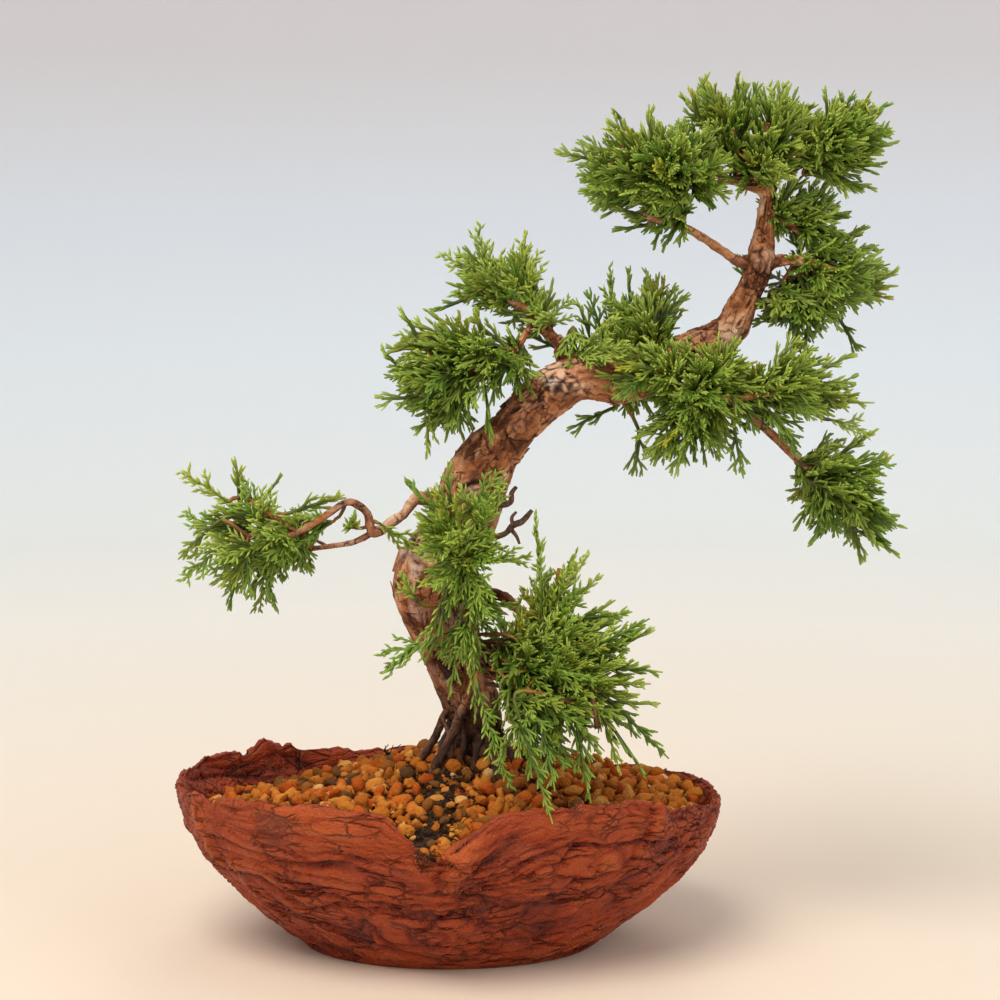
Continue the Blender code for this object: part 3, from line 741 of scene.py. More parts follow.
def smooth_route(route, step):
    """Points about step apart on a Catmull-Rom curve through a route, radius included."""
    keys = np.array(route, float)
    keys = np.concatenate([[2 * keys[0] - keys[1]], keys, [2 * keys[-1] - keys[-2]]])
    points = []
    for before, start, end, after in zip(keys, keys[1:], keys[2:], keys[3:]):
        count = max(1, round(np.linalg.norm((end - start)[:3]) / step))
        for t in np.arange(count) / count:
            points.append(0.5 * (2 * start + (end - before) * t
                                 + (2 * before - 5 * start + 4 * end - after) * t ** 2
                                 + (3 * start - before - 3 * end + after) * t ** 3))
    points.append(keys[-2])
    return np.array(points)


class Loft:
    """A round limb along a route: its grid, and each point's length along s, angle turn and radius r."""

    def __init__(self, route, step, sides):
        points = smooth_route(route, step)
        self.centre, self.radius = points[:, :3], np.maximum(points[:, 3], 0.3)
        self.along = np.gradient(self.centre, axis=0)
        self.along /= np.linalg.norm(self.along, axis=1, keepdims=True)
        steps = np.linalg.norm(np.diff(self.centre, axis=0), axis=1)
        length = np.concatenate([[0], np.cumsum(steps)])
        side = np.cross(self.along[0], (0, 1, 0.3))
        first = []
        for along in self.along:
            side = side - along * side.dot(along)
            side /= np.linalg.norm(side)
            first.append(side)
        second = np.cross(self.along, np.array(first))
        angle = 2 * np.pi * np.arange(sides) / sides
        cosine, sine = np.cos(angle)[None, :, None], np.sin(angle)[None, :, None]
        ring = np.array(first)[:, None] * cosine + second[:, None] * sine
        self.grid = self.centre[:, None] + ring * self.radius[:, None, None]
        self.s = np.repeat(length[:, None], sides, axis=1)
        self.turn = np.repeat(angle[None], len(length), axis=0)
        self.r = np.repeat(self.radius[:, None], sides, axis=1)

    def bark_places(self, along_mm, around_mm, twist=0.0):
        """Coordinates that follow the limb, for bark that runs along it and closes round it."""
        turn = self.turn + self.s * twist
        across, up = np.cos(turn) * self.r / around_mm, np.sin(turn) * self.r / around_mm
        return np.stack([self.s / along_mm, across, up], -1).reshape(-1, 3)


# ---------------------------------------------------------------- Geometry Nodes

def node_group(name, sockets):
    """An empty geometry tree with named inputs after its Geometry, and its input and output nodes."""
    tree = bpy.data.node_groups.new(name, "GeometryNodeTree")
    tree.interface.new_socket("Geometry", in_out="INPUT", socket_type="NodeSocketGeometry")
    tree.interface.new_socket("Geometry", in_out="OUTPUT", socket_type="NodeSocketGeometry")
    for label, kind in sockets.items():
        tree.interface.new_socket(label, in_out="INPUT", socket_type="NodeSocket" + kind)
    return tree, tree.nodes.new("NodeGroupInput"), tree.nodes.new("NodeGroupOutput")


def grown(source, tree, name, values):
    """The plain mesh object that a geometry tree makes from another object, which is then removed."""
    modifier = source.modifiers.new("grow", "NODES")
    modifier.node_group = tree
    for item in tree.interface.items_tree:
        if item.item_type == "SOCKET" and item.in_out == "INPUT" and item.name in values:
            modifier[item.identifier] = values[item.name]
    graph = bpy.context.evaluated_depsgraph_get()
    mesh = bpy.data.meshes.new_from_object(source.evaluated_get(graph))
    mesh.name = name
    source.modifiers.clear()
    bpy.data.objects.remove(source, do_unlink=True)
    return link_mesh(name, mesh)


def finish_tree(tree, geometry, material, output):
    """Realises instances, smooths and sets the material, as every tree here ends."""
    real = add(tree, "GeometryNodeRealizeInstances", {"Geometry": geometry})
    smooth = add(tree, "GeometryNodeSetShadeSmooth", {"Geometry": real.outputs["Geometry"]})
    coated = add(tree, "GeometryNodeSetMaterial",
                 {"Geometry": smooth.outputs["Geometry"], "Material": material})
    tree.links.new(coated.outputs["Geometry"], output.inputs[0])


def named(tree, label):
    """A value that the points keep under a name."""
    return add(tree, "GeometryNodeInputNamedAttribute", {"Name": label}, data_type="FLOAT").outputs[0]


def store_uv(tree, geometry, across, up):
    """Keeps a pair of values as the UV map that the colours are read by."""
    pair = add(tree, "ShaderNodeCombineXYZ", {"X": across, "Y": up})
    made = add(tree, "GeometryNodeStoreNamedAttribute", {"Geometry": geometry, "Name": "OFBake",
                                                         "Value": pair.outputs[0]},
               data_type="FLOAT2", domain="CORNER")
    return made.outputs["Geometry"]


def drop_values(piece, *labels):
    """Removes the values that only its geometry tree needed from a piece."""
    for label in labels:
        if label in piece.data.attributes:
            piece.data.attributes.remove(piece.data.attributes[label])


def strand_tree():
    """Tubes along chains of edges: thickness, age and tint come from the chains' points."""
    tree, given, output = node_group("strands", {"Sides": "Int", "Material": "Material"})
    curve = add(tree, "GeometryNodeMeshToCurve", {"Mesh": given.outputs["Geometry"]})
    circle = add(tree, "GeometryNodeCurvePrimitiveCircle",
                 {"Resolution": given.outputs["Sides"], "Radius": MM})
    spot = add(tree, "GeometryNodeSplineParameter")
    capture = add(tree, "GeometryNodeCaptureAttribute", {"Geometry": circle.outputs["Curve"]})
    capture.capture_items.new("FLOAT", "around")
    tree.links.new(spot.outputs["Factor"], capture.inputs[1])
    tube = add(tree, "GeometryNodeCurveToMesh",
               {"Curve": curve.outputs["Curve"], "Profile Curve": capture.outputs[0],
                "Scale": named(tree, "thickness"), "Fill Caps": True})
    share = add(tree, "ShaderNodeMath", {0: capture.outputs[1], 1: 0.03}, operation="MULTIPLY")
    up = add(tree, "ShaderNodeMath", {0: named(tree, "tint"), 1: share.outputs[0]}, operation="ADD")
    mapped = store_uv(tree, tube.outputs["Mesh"], named(tree, "age"), up.outputs[0])
    finish_tree(tree, mapped, given.outputs["Material"], output)
    return tree


class Strands:
    """Chains of points that become tubes, each point with a radius in mm, an age and a tint."""

    def __init__(self):
        self.points, self.radii, self.ages, self.tints, self.edges = [], [], [], [], []
        self.count = 0

    def add(self, points, radii, ages, tint):
        """One chain, with its radii and ages spread evenly along it."""
        size = len(points)
        self.points.append(points)
        self.radii.append(np.interp(np.linspace(0, 1, size), np.linspace(0, 1, len(radii)), radii))
        self.ages.append(np.interp(np.linspace(0, 1, size), np.linspace(0, 1, len(ages)), ages))
        self.tints.append(np.full(size, tint))
        chain = np.arange(self.count, self.count + size)
        self.edges.append(np.stack([chain[:-1], chain[1:]], axis=1))
        self.count += size

    def piece(self, name, tree, sides, material):
        """The tubes of all the chains as one mesh object."""
        mesh = bpy.data.meshes.new(name + "_chains")
        points = np.concatenate(self.points) * MM
        mesh.from_pydata(points.tolist(), np.concatenate(self.edges).tolist(), [])
        for label, parts in (("thickness", self.radii), ("age", self.ages), ("tint", self.tints)):
            made = mesh.attributes.new(label, "FLOAT", "POINT")
            made.data.foreach_set("value", np.concatenate(parts).astype(np.float32))
        made = grown(link_mesh(name + "_chains", mesh), tree, name, {"Sides": sides, "Material": material})
        drop_values(made, "thickness", "age", "tint")
        return made


# ---------------------------------------------------------------- pot

def rim_height(angle):
    """Height of the rim: high front lobes with a notch between them, a folded back and a high left end."""
    x = RIM_HALF[0] * np.cos(angle)
    front = np.maximum(0.0, -np.sin(angle))
    back = np.maximum(0.0, np.sin(angle))
    height = SIDE_HEIGHT + 12.0 * front ** 1.2
    height = height - 14.0 * front * bell(x + 2, 13)
    height = height + 5.0 * np.sqrt(back) * bell(x + 58, 28)
    height = height + LEFT_RISE * (1 - 0.8 * front) * bell(x + 92, 26)
    return height + 0.8 * np.sin(5 * angle)


def pot_grid(angle, rise, inset, floor, height):
    """A ring of points on the wall at one rise, which runs from 0 at the foot to 1 at the rim."""
    opening = 1 - (1 - rise) ** BELLY
    half = (FOOT_HALF + (RIM_HALF - FOOT_HALF) * opening)[:, None] - inset
    z = floor + rise * (height - floor)
    return np.stack([half[0] * np.cos(angle), half[1] * np.sin(angle), z], axis=-1)


def make_pot(material):
    """The bowl, torn and pressed by hand, with ridges that run from end to end under its belly."""
    columns = 560
    turn = 2 * np.pi * np.arange(columns) / columns
    circle = np.stack([np.cos(turn), np.sin(turn), np.zeros(columns)], axis=1)
    ragged = 1.0 * noise(circle * 9, 3) + 0.7 * noise(circle * 26, 4) + 0.35 * noise(circle * 60, 5)
    height = rim_height(turn) + ragged
    for degrees, width, rise in RIM_TEARS:
        height += rise * bell(turn - np.radians(degrees), width)
    rim_wall = 3.4 + 0.7 * noise(circle * 7, 6)
    # Each row also keeps its rise and how far inside it lies, from 0 on the outer wall to 1 on the inner one
    rows, kinds = [], []
    for rise in np.concatenate([np.linspace(0, 0.12, 12, endpoint=False), np.linspace(0.12, 0.965, 98)]):
        rows.append(pot_grid(turn, rise, np.zeros(columns), 0.0, height))
        kinds.append((rise, 0.0))
    for tilt in np.radians(np.linspace(15, 165, 9)):
        inset = rim_wall / 2 * (1 - np.cos(tilt))
        row = pot_grid(turn, 1.0, inset, 0.0, height)
        row[:, 2] += (np.sin(tilt) - 1) * rim_wall / 2
        rows.append(row)
        kinds.append((1.0, tilt / np.pi))
    for rise in np.linspace(0.95, 0.5, 38):
        thick = WALL + (rim_wall - WALL) * smoothstep(rise, 0.7, 0.98)
        rows.append(pot_grid(turn, rise, thick, FLOOR, height))
        kinds.append((rise, 1.0))
    for rise in (0.3, 0.1, 0.0):
        rows.append(pot_grid(turn, rise, WALL, FLOOR, height))
        kinds.append((rise, 1.0))
    grid = np.array(rows)
    rise = np.repeat(np.array([k[0] for k in kinds])[:, None], columns, axis=1)
    inside = np.repeat(np.array([k[1] for k in kinds])[:, None], columns, axis=1)
    lift, relief = clay_relief(grid, rise, inside, np.repeat(turn[None], len(rows), axis=0))
    grid = displaced(grid, lift)
    piece = closed_grids("pot_clay", [grid], {"relief": [relief]})
    drill_drains(piece)
    return put(piece, material, "stoneware", "pot")


def clay_relief(grid, rise, inside, turn):
    """How far the clay stands out, in mm, and its tone, from 0 in a groove or crack to 1 on a crest: painted
    shade in each groove and crack, painted highlight on the crests.
    """
    flat = grid.reshape(-1, 3)
    x, y, z = flat.T
    rise, inside, turn = rise.reshape(-1), inside.reshape(-1), turn.reshape(-1)
    nothing = 0 * x
    # Lanes that run from end to end, laid side by side from the front rim under the belly to the back
    roll = np.arctan2(54 - z, -y)
    bend = 0.15 * noise(np.stack([x / 48, roll * 2.2, nothing], 1), 11)
    bend = bend + 0.06 * noise(np.stack([x / 15, roll * 5, nothing], 1), 12)
    bend = bend + 0.02 * noise(np.stack([x / 5, roll * 14, nothing], 1), 10)
    lane = (roll + bend) * 50
    deep = inside * 3
    broad = ridged(np.stack([x / 66, lane / 9.5, deep], 1), 13) ** 5
    small = ridged(np.stack([x / 36, lane / 4.4, deep], 1), 14) ** 4
    thread = ridged(np.stack([x / 16, lane / 2.0, deep], 1), 15) ** 3
    edge, own = cracked(np.stack([x / 38, lane / 7, deep], 1), 16)
    edge_small, own_small = cracked(np.stack([x / 15, lane / 3.2, deep], 1), 19)
    torn = smoothstep(noise(flat / 20, 17), -0.35, 0.35)
    calm = 1 - 0.5 * smoothstep(rise, 0.6, 0.9) * (1 - inside)
    foot = smoothstep(rise, 0.0, 0.06)
    crack = bell(edge, 0.06) * (0.25 + 0.75 * torn)
    crack_small = bell(edge_small, 0.08) * torn
    lift = 0.6 - 1.8 * broad * calm - 1.35 * small * calm - 0.65 * thread
    lift += 1.0 * (own - 0.5) * calm + 0.6 * (own_small - 0.5) * torn
    lift -= 1.3 * crack * calm + 0.8 * crack_small * calm
    swell = 0.8 * layered(flat / 16, 20)
    lift += swell + 0.3 * layered(flat / 2.2, 23)
    # Lapped folds at the left and right ends, the split under the notch, and the lip that leans over it
    fold_left = np.radians(206) + 0.05 * noise(np.stack([rise * 9, nothing, nothing], 1), 25)
    lift += fold(turn - fold_left, 0.022, smoothstep(rise, 0.45, 0.75), 1.7)
    fold_right = np.radians(318) - 0.25 * (1 - rise)
    fold_right = fold_right + 0.03 * noise(np.stack([rise * 11, nothing, nothing], 1), 26)
    lift += fold(turn - fold_right, 0.02, smoothstep(rise, 0.5, 0.8), 1.5)
    split = np.radians(268.5) + 0.025 * noise(np.stack([rise * 14, nothing, nothing], 1), 27)
    lift += fold(turn - split, 0.03, smoothstep(rise, 0.62, 0.82), 2.0)
    lift += 1.4 * bell(turn - np.radians(273.5), 0.07) * bell(rise - 0.88, 0.12) * (1 - inside)
    # Crumpled clay at both ends of the oval
    ends = smoothstep(np.abs(x), 58, 76) * smoothstep(rise, 0.3, 0.6)
    stirred = np.stack([turn * 22, rise * 1.6, deep], 1) + 0.35 * noise(flat / 7, 29)[:, None]
    crumple = ridged(stirred, 28) ** 3
    lift -= 0.7 * ends * crumple
    lift = lift * foot * (1 - 0.5 * inside)
    # The tone is painted light: darker in grooves, cracks and crumples as painted shade, lighter on crests as
    # painted highlight, and a little lighter on the inner wall
    relief = 0.64 + 0.14 * np.clip(lift - swell, -2.2, 1.2) + 0.05 * inside
    relief -= 0.12 * (broad * calm + small * calm + thread)
    relief += 0.12 * (own_small - 0.5) - 0.2 * crack * calm - 0.16 * crack_small - 0.08 * ends * crumple
    shape = grid.shape[:2]
    return lift.reshape(shape), np.clip(relief, 0, 1).reshape(shape)


def fold(gap, width, share, depth):
    """A lapped seam in the clay: a sharp groove with one lip standing over it."""
    groove = -depth * bell(gap, width * 0.6)
    lip = 0.8 * depth * bell(gap - 2.2 * width, 1.6 * width)
    return share * (groove + lip)


def drill_drains(piece):
    """Two drain holes through the foot."""
    bm = bmesh.new()
    for x in (-DRAIN_X, DRAIN_X):
        made = bmesh.ops.create_cone(bm, cap_ends=True, segments=40, radius1=DRAIN_RADIUS * MM,
                                     radius2=DRAIN_RADIUS * MM, depth=4 * FLOOR * MM)
        bmesh.ops.translate(bm, verts=made["verts"], vec=(x * MM, 0, 0))
    mesh = bpy.data.meshes.new("drains")
    bm.to_mesh(mesh)
    bm.free()
    cutter = link_mesh("drains", mesh)
    cut = piece.modifiers.new("drains", "BOOLEAN")
    cut.operation = "DIFFERENCE"
    cut.solver = "MANIFOLD"
    cut.object = cutter
    graph = bpy.context.evaluated_depsgraph_get()
    cut_mesh = bpy.data.meshes.new_from_object(piece.evaluated_get(graph))
    piece.modifiers.clear()
    piece.data = cut_mesh
    bpy.data.objects.remove(cutter, do_unlink=True)


# ---------------------------------------------------------------- soil

def soil_height(x, y):
    """The heaped surface: highest at the trunk, low behind on the left and at the notch."""
    over, behind = (x - HEAP_CENTRE[0]) / HEAP_SPREAD[0], (y - HEAP_CENTRE[1]) / HEAP_SPREAD[1]
    heap = np.exp(-over ** 2 - behind ** 2)
    hollow = np.exp(-((x + 58) / 28) ** 2 - ((y - 40) / 24) ** 2)
    notch = np.exp(-((x + 2) / 16) ** 2 - ((y + 62) / 22) ** 2)
    left = np.exp(-((x + 86) / 15) ** 2)
    return SOIL_LEVEL + HEAP_HEIGHT * heap - 5 * hollow - 4 * notch - 4 * left


def soil_rim():
    """Half sizes of the oval where the soil meets the wall."""
    opening = 1 - (1 - SOIL_LEVEL / (SIDE_HEIGHT + 4)) ** BELLY
    return FOOT_HALF + (RIM_HALF - FOOT_HALF) * opening - WALL - 1.0


def bed_grid(drop, shrink=0.0):
    """A polar sheet of the soil's surface, from the wall to the middle, lowered by drop."""
    half = soil_rim() - shrink
    turn = 2 * np.pi * np.arange(120) / 120
    rows = []
    for share in np.linspace(1.0, 0.03, 60):
        x = half[0] * share * np.cos(turn)
        y = half[1] * share * np.sin(turn)
        rows.append(np.stack([x, y, soil_height(x, y) - drop], axis=1))
    return np.array(rows)


def make_bed(material):
    """The crumbly mass under the grains, closed below."""
    top = bed_grid(1.2)
    flat = top.reshape(-1, 3)
    top[..., 2] += (0.9 * layered(flat / 3, 31)).reshape(top.shape[:2])
    under = top[0] * (0.8, 0.78, 1.0) - (0, 0, 18)
    grid = np.concatenate([under[None], top])
    piece = closed_grids("grit_bed", [grid], {})
    return put(piece, material, "grit", "soil")


def grain_shapes():
    """A hidden collection of lumpy grains, each one unit across its half size."""
    shapes = bpy.data.collections.new("grain_shapes")
    for seed in range(7):
        bm = bmesh.new()
        bmesh.ops.create_icosphere(bm, subdivisions=2, radius=1.0)
        places = np.array([vert.co for vert in bm.verts])
        swell = 1.05 + 0.3 * noise(places * 0.9 + 7 * seed, 40 + seed) + 0.3 * noise(places * 2.6, 50 + seed)
        squash = 0.74 + 0.34 * hashed(np.array([[seed, k, 1] for k in range(3)]), 60)
        places = places * swell[:, None]
        for facet in range(12):
            way = unit(hashed(np.array([[seed, facet, k] for k in range(3)]), 61) - 0.5)
            over = np.maximum(0, places @ way - 0.66)
            places = places - over[:, None] * way
        for vert, place in zip(bm.verts, places * squash):
            vert.co = Vector(place)
        bmesh.ops.recalc_face_normals(bm, faces=bm.faces)
        mesh = bpy.data.meshes.new("grain_%d" % seed)
        bm.to_mesh(mesh)
        bm.free()
        shapes.objects.link(bpy.data.objects.new(mesh.name, mesh))
    return shapes


def grit_tree():
    """Scatters grains on a surface, each turned, sized and coloured at random, and keeps which way each face
    looks for their painted shade.
    """
    tree, given, output = node_group("grit", {
        "Spacing": "Float", "Smallest": "Float", "Largest": "Float", "Lift": "Float",
        "Seed": "Int", "Grains": "Collection", "Material": "Material"})
    spread = add(tree, "GeometryNodeDistributePointsOnFaces",
                 {"Mesh": given.outputs["Geometry"], "Distance Min": given.outputs["Spacing"],
                  "Density Max": 400000.0, "Seed": given.outputs["Seed"]}, distribute_method="POISSON")
    grains = add(tree, "GeometryNodeCollectionInfo",
                 {"Collection": given.outputs["Grains"], "Separate Children": True, "Reset Children": True})
    turn = add(tree, "FunctionNodeRandomValue", {"Max": (6.283, 6.283, 6.283), "Seed": 1},
               data_type="FLOAT_VECTOR")
    facing = add(tree, "FunctionNodeEulerToRotation", {"Euler": turn.outputs["Value"]})
    size = add(tree, "FunctionNodeRandomValue",
               {2: given.outputs["Smallest"], 3: given.outputs["Largest"], "Seed": 2}, data_type="FLOAT")
    stretch = add(tree, "FunctionNodeRandomValue",
                  {"Min": (0.82, 0.82, 0.82), "Max": (1.2, 1.2, 1.2), "Seed": 3}, data_type="FLOAT_VECTOR")
    scale = add(tree, "ShaderNodeVectorMath", {0: stretch.outputs["Value"], "Scale": size.outputs[1]},
                operation="SCALE")
    placed = add(tree, "GeometryNodeInstanceOnPoints",
                 {"Points": spread.outputs["Points"], "Instance": grains.outputs["Instances"],
                  "Pick Instance": True, "Rotation": facing.outputs["Rotation"], "Scale": scale.outputs[0]})
    height = add(tree, "FunctionNodeRandomValue", {3: given.outputs["Lift"], "Seed": 4}, data_type="FLOAT")
    rise = add(tree, "ShaderNodeCombineXYZ", {"Z": height.outputs[1]})
    moved = add(tree, "GeometryNodeTranslateInstances", {
        "Instances": placed.outputs["Instances"], "Translation": rise.outputs[0], "Local Space": False})
    kind = add(tree, "FunctionNodeRandomValue", {2: 0.0, 3: 0.99, "Seed": 5}, data_type="FLOAT")
    marked = add(tree, "GeometryNodeStoreNamedAttribute",
                 {"Geometry": moved.outputs["Instances"], "Name": "kind", "Value": kind.outputs[1]},
                 data_type="FLOAT", domain="INSTANCE")
    real = add(tree, "GeometryNodeRealizeInstances", {"Geometry": marked.outputs["Geometry"]})
    # Which way each face looks, for the painted shade under the grains
    normal = add(tree, "ShaderNodeSeparateXYZ", {0: add(tree, "GeometryNodeInputNormal").outputs[0]})
    up = add(tree, "ShaderNodeMath", {0: normal.outputs["Z"], 1: 0.49, 2: 0.5}, operation="MULTIPLY_ADD")
    slope = add(tree, "ShaderNodeMath", {0: normal.outputs["X"], 1: 0.008, 2: named(tree, "kind")},
                operation="MULTIPLY_ADD")
    mapped = store_uv(tree, real.outputs["Geometry"], slope.outputs[0], up.outputs[0])
    finish_tree(tree, mapped, given.outputs["Material"], output)
    return tree


def make_grit(material):
    """Three fills of grains: a packed one, loose ones on it, and fine crumbs between them."""
    tree = grit_tree()
    shapes = grain_shapes()
    for name, (drop, spacing, smallest, largest, lift, seed) in GRIT_FILLS.items():
        sheet = closed_grids(name + "_sheet", [bed_grid(drop, 2.0)], {})
        clear_of_wood(sheet)
        piece = grown(sheet, tree, name, {
            "Spacing": spacing * MM, "Smallest": smallest * MM, "Largest": largest * MM, "Lift": lift * MM,
            "Seed": seed, "Grains": shapes, "Material": material})
        drop_values(piece, "kind")
        put(piece, material, "grit", "soil")
    for shape in list(shapes.objects):
        bpy.data.objects.remove(shape, do_unlink=True)
    bpy.data.collections.remove(shapes)


def clear_of_wood(sheet):
    """Removes the sheet's faces under the trunk, in patches along the peat band, and any that face down."""
    bm = bmesh.new()
    bm.from_mesh(sheet.data)
    hidden = []
    for face in bm.faces:
        x, y, _ = face.calc_center_median() / MM
        under_trunk = math.dist((x, y), TRUNK_FOOT) < 11
        on_peat = -56 < y < -22 and abs(x - peat_middle(y)) < 2.2 and math.sin(y * 0.7) > 0.0
        if under_trunk or on_peat or face.normal.z < 0:
            hidden.append(face)
    bmesh.ops.delete(bm, geom=hidden, context="FACES")
    bm.to_mesh(sheet.data)
    bm.free()


def peat_middle(y):
    """Where the middle of the peat band lies, at each distance towards the notch."""
    return -3 + 0.14 * (y + 20)


def make_peat(material, fibre, tree):
    """The dark band from the trunk's foot to the notch, its fibres, and the ones that hang over the lip."""
    along = np.linspace(6, -57, 64)
    across = np.linspace(0, 2 * np.pi, 36, endpoint=False)
    rows = []
    for y in along:
        half = 4.2 + 1.8 * math.sin(y * 0.23) - 2.5 * smoothstep(np.array(-y), 40, 57)
        x = peat_middle(y) + half * np.cos(across)
        lift = 0.2 + 1.7 * np.maximum(0, np.sin(across)) - 1.5 * np.maximum(0, -np.sin(across))
        rows.append(np.stack([x, np.full(36, y), soil_height(x, y) + lift], axis=1))
    grid = np.array(rows)
    lump = layered(grid.reshape(-1, 3) / 2.6, 71).reshape(grid.shape[:2])
    bed = closed_grids("peat_bed", [displaced(grid, 0.8 * lump)], {})
    put(bed, material, "peat", "peat_band")
    rng = np.random.default_rng(81)
    hairs = Strands()
    for _ in range(420):
        y = rng.uniform(-57, 8)
        x = peat_middle(y) + rng.normal(0, 4.5)
        heading = rng.uniform(0, 2 * np.pi)
        lay_fibre(hairs, rng, x, y, heading, rng.uniform(4, 13), rng.uniform(0.1, 0.28))
    for _ in range(160):
        reach = rng.uniform(10, 26)
        way = rng.uniform(0, 2 * np.pi)
        lay_fibre(hairs, rng, 8 + reach * math.cos(way), 10 + 0.7 * reach * math.sin(way), way,
                  rng.uniform(4, 10), rng.uniform(0.12, 0.3))
    # Fibres over the lip, as (degrees round, how many, share of the bowl's height)
    for turn, count, drop in ((266.0, 16, 0.16), (273.0, 36, 0.3)):
        for _ in range(count):
            hang_fibre(hairs, rng, turn, drop)
    for _ in range(26):
        tuft = np.array((-19, 26, soil_height(-19, 26) + 1.5)) + rng.normal(0, 1.5, 3) * (1.6, 1, 0.5)
        ways = rng.normal(0, 1, (4, 3)) * (1, 1, 0.7) + (0, 0, 0.5)
        hairs.add(tuft + np.cumsum(ways, axis=0), (0.3, 0.15), (0, 0.2), 0.2)
    piece = hairs.piece("peat_fibres", tree, 3, fibre)
    put(piece, fibre, "peat", "peat_band")


def lay_fibre(hairs, rng, x, y, heading, length, radius):
    """One root fibre lying on the soil."""
    points = []
    for _ in range(7):
        points.append((x, y, soil_height(x, y) + rng.uniform(0.9, 2.2)))
        heading += rng.normal(0, 0.5)
        x += length / 7 * math.cos(heading)
        y += length / 7 * math.sin(heading)
    hairs.add(np.array(points), (radius, radius * 0.5), rng.uniform(0, 1, 2), rng.uniform(0, 0.9))


def hang_fibre(hairs, rng, turn, drop):
    """One fibre that hangs over the lip at a turn in degrees, down a share of the bowl's height."""
    steps = 9
    rise = np.linspace(1.0, 1.0 - drop * rng.uniform(0.35, 1.0), steps)
    angle = np.radians(turn + rng.normal(0, 0.8) + np.cumsum(rng.normal(0, 0.35, steps)))
    off_wall = 1.3
    points = np.array([pot_grid(a, r, -off_wall, 0, rim_height(a))[0] for a, r in zip(angle[:, None], rise)])
    points += rng.normal(0, 0.3, (steps, 3))
    hairs.add(points, (0.14, 0.08), rng.uniform(0.3, 1.0, 2), rng.uniform(0.1, 0.9))


# ---------------------------------------------------------------- wood

def bark_relief(loft, limb):
    """How far the bark stands out in mm, and from 0 to 1 its tone, with painted highlight where it stands
    out; the painted shade of its splits and hollows; its weathering; and how much darker it grows near the
    soil.
    """
    flat = loft.grid.reshape(-1, 3)
    z = flat[:, 2]
    radius = loft.r.reshape(-1)
    trunk = limb == "trunk"
    twist = 0.012 if trunk else 0.04
    warp = np.stack([noise(flat / 7, seed) for seed in (111, 112, 113)], 1) * 0.5
    warp += np.stack([noise(flat / 2.4, seed) for seed in (114, 115, 116)], 1) * 0.2
    strips = ridged(loft.bark_places(16, 2.3, twist) + 0.4 * warp, 102)
    fine = ridged(loft.bark_places(8, 1.0, twist) + 0.4 * warp, 103)
    edge, own = cracked(loft.bark_places(19, 6.5, twist) + warp, 104)
    edge_chip, own_chip = cracked(loft.bark_places(6.5, 3.2, twist) + 0.8 * warp, 121)
    upper = smoothstep(z, 142, 158) * (1 - 0.5 * smoothstep(z, 196, 204))
    broken = smoothstep(noise(flat / 8, 122), -0.15, 0.35)
    chips = smoothstep(noise(flat / 9, 123), 0.0, 0.4)
    split = bell(edge, 0.05) * broken + 0.7 * bell(edge_chip, 0.07) * chips
    if trunk:
        lift = 1.0 * layered(flat / 14, 105) + 0.4 * layered(flat / 4.5, 124)
        lift += (0.8 - 0.4 * upper) * (strips - 0.7) + 0.28 * (fine - 0.6)
        lift += 0.9 * (own - 0.5) * broken + 0.8 * (own_chip - 0.4) * chips - 0.7 * split
    else:
        lift = radius * (0.42 * layered(flat / 3.2, 106) + 0.3 * (strips - 0.6) + 0.3 * (own_chip - 0.5))
    scar, pale = np.zeros(len(flat)), np.zeros(len(flat))
    if trunk:
        for place, width, rise, hollow, callus in KNOTS:
            gap = np.linalg.norm(flat - place, axis=1)
            rough = gap * (1 + 0.3 * noise(flat / 2, 107))
            lift += 1.9 * rise * bell(rough, width) - 2.2 * hollow * bell(rough, width * 0.45)
            scar += hollow * bell(rough, width * 0.45) * (1 - 0.6 * callus)
            pale += callus * smoothstep(rough, 1.15 * width, 0.75 * width)
            split += 1.2 * (1 - callus) * bell(rough, 0.5 * width) * (hollow > 0.6)
            split += 0.8 * (1 - 0.4 * callus) * bell(rough - 1.3 * width, 0.2 * width) * (rise > 0.65)
        for start, end, width in SPLITS:
            gap = segment_gap(flat + 1.6 * warp, np.array(start, float), np.array(end, float))
            lift -= 1.3 * bell(gap, width)
            lift += 0.6 * bell(gap - 2.2 * width, 1.3 * width)
            split += 1.2 * bell(gap, 0.8 * width)
    lift *= smoothstep(radius, 0.2, 2.2)
    # Tone is lighter where the bark stands out and on its ridges and darker in its hollows, as painted
    # highlight and shade, over its own mottling
    tone = 0.5 + 0.4 * layered(flat / 10, 125) + 0.4 * (own_chip - 0.5) * chips + 0.3 * (own - 0.5)
    tone += 0.18 * (strips - 0.7) + 0.12 * (fine - 0.6) + 0.12 * np.clip(lift, -1.5, 1.5) * trunk
    # Painted shade in the splits, knot hollows and the valleys between the strips low on the trunk
    dark = np.clip(0.85 * split + 0.5 * scar + 0.3 * (1 - upper) * (1 - strips) ** 2, 0, 0.92)
    patch = smoothstep(noise(flat / 11, 108) + 0.25 * noise(flat / 3, 109), 0.0, 0.5)
    weathered = patch * (0.7 - 0.55 * upper) * (1 - smoothstep(z, 195, 206)) if trunk else 0.2 * patch
    weathered = np.maximum(weathered, pale)
    # How much darker the bark grows towards the soil
    damp = 1 - smoothstep(z + 6 * noise(flat / 5, 110), 66, 98)
    shape = loft.grid.shape[:2]
    return [np.clip(v, -3, 3).reshape(shape) for v in (lift, tone, dark, weathered, 0.9 * damp)]


def segment_gap(places, start, end):
    """Distance of each place from a straight line between two points."""
    run = end - start
    t = np.clip((places - start) @ run / run.dot(run), 0, 1)
    return np.linalg.norm(places - start - t[:, None] * run, axis=1)


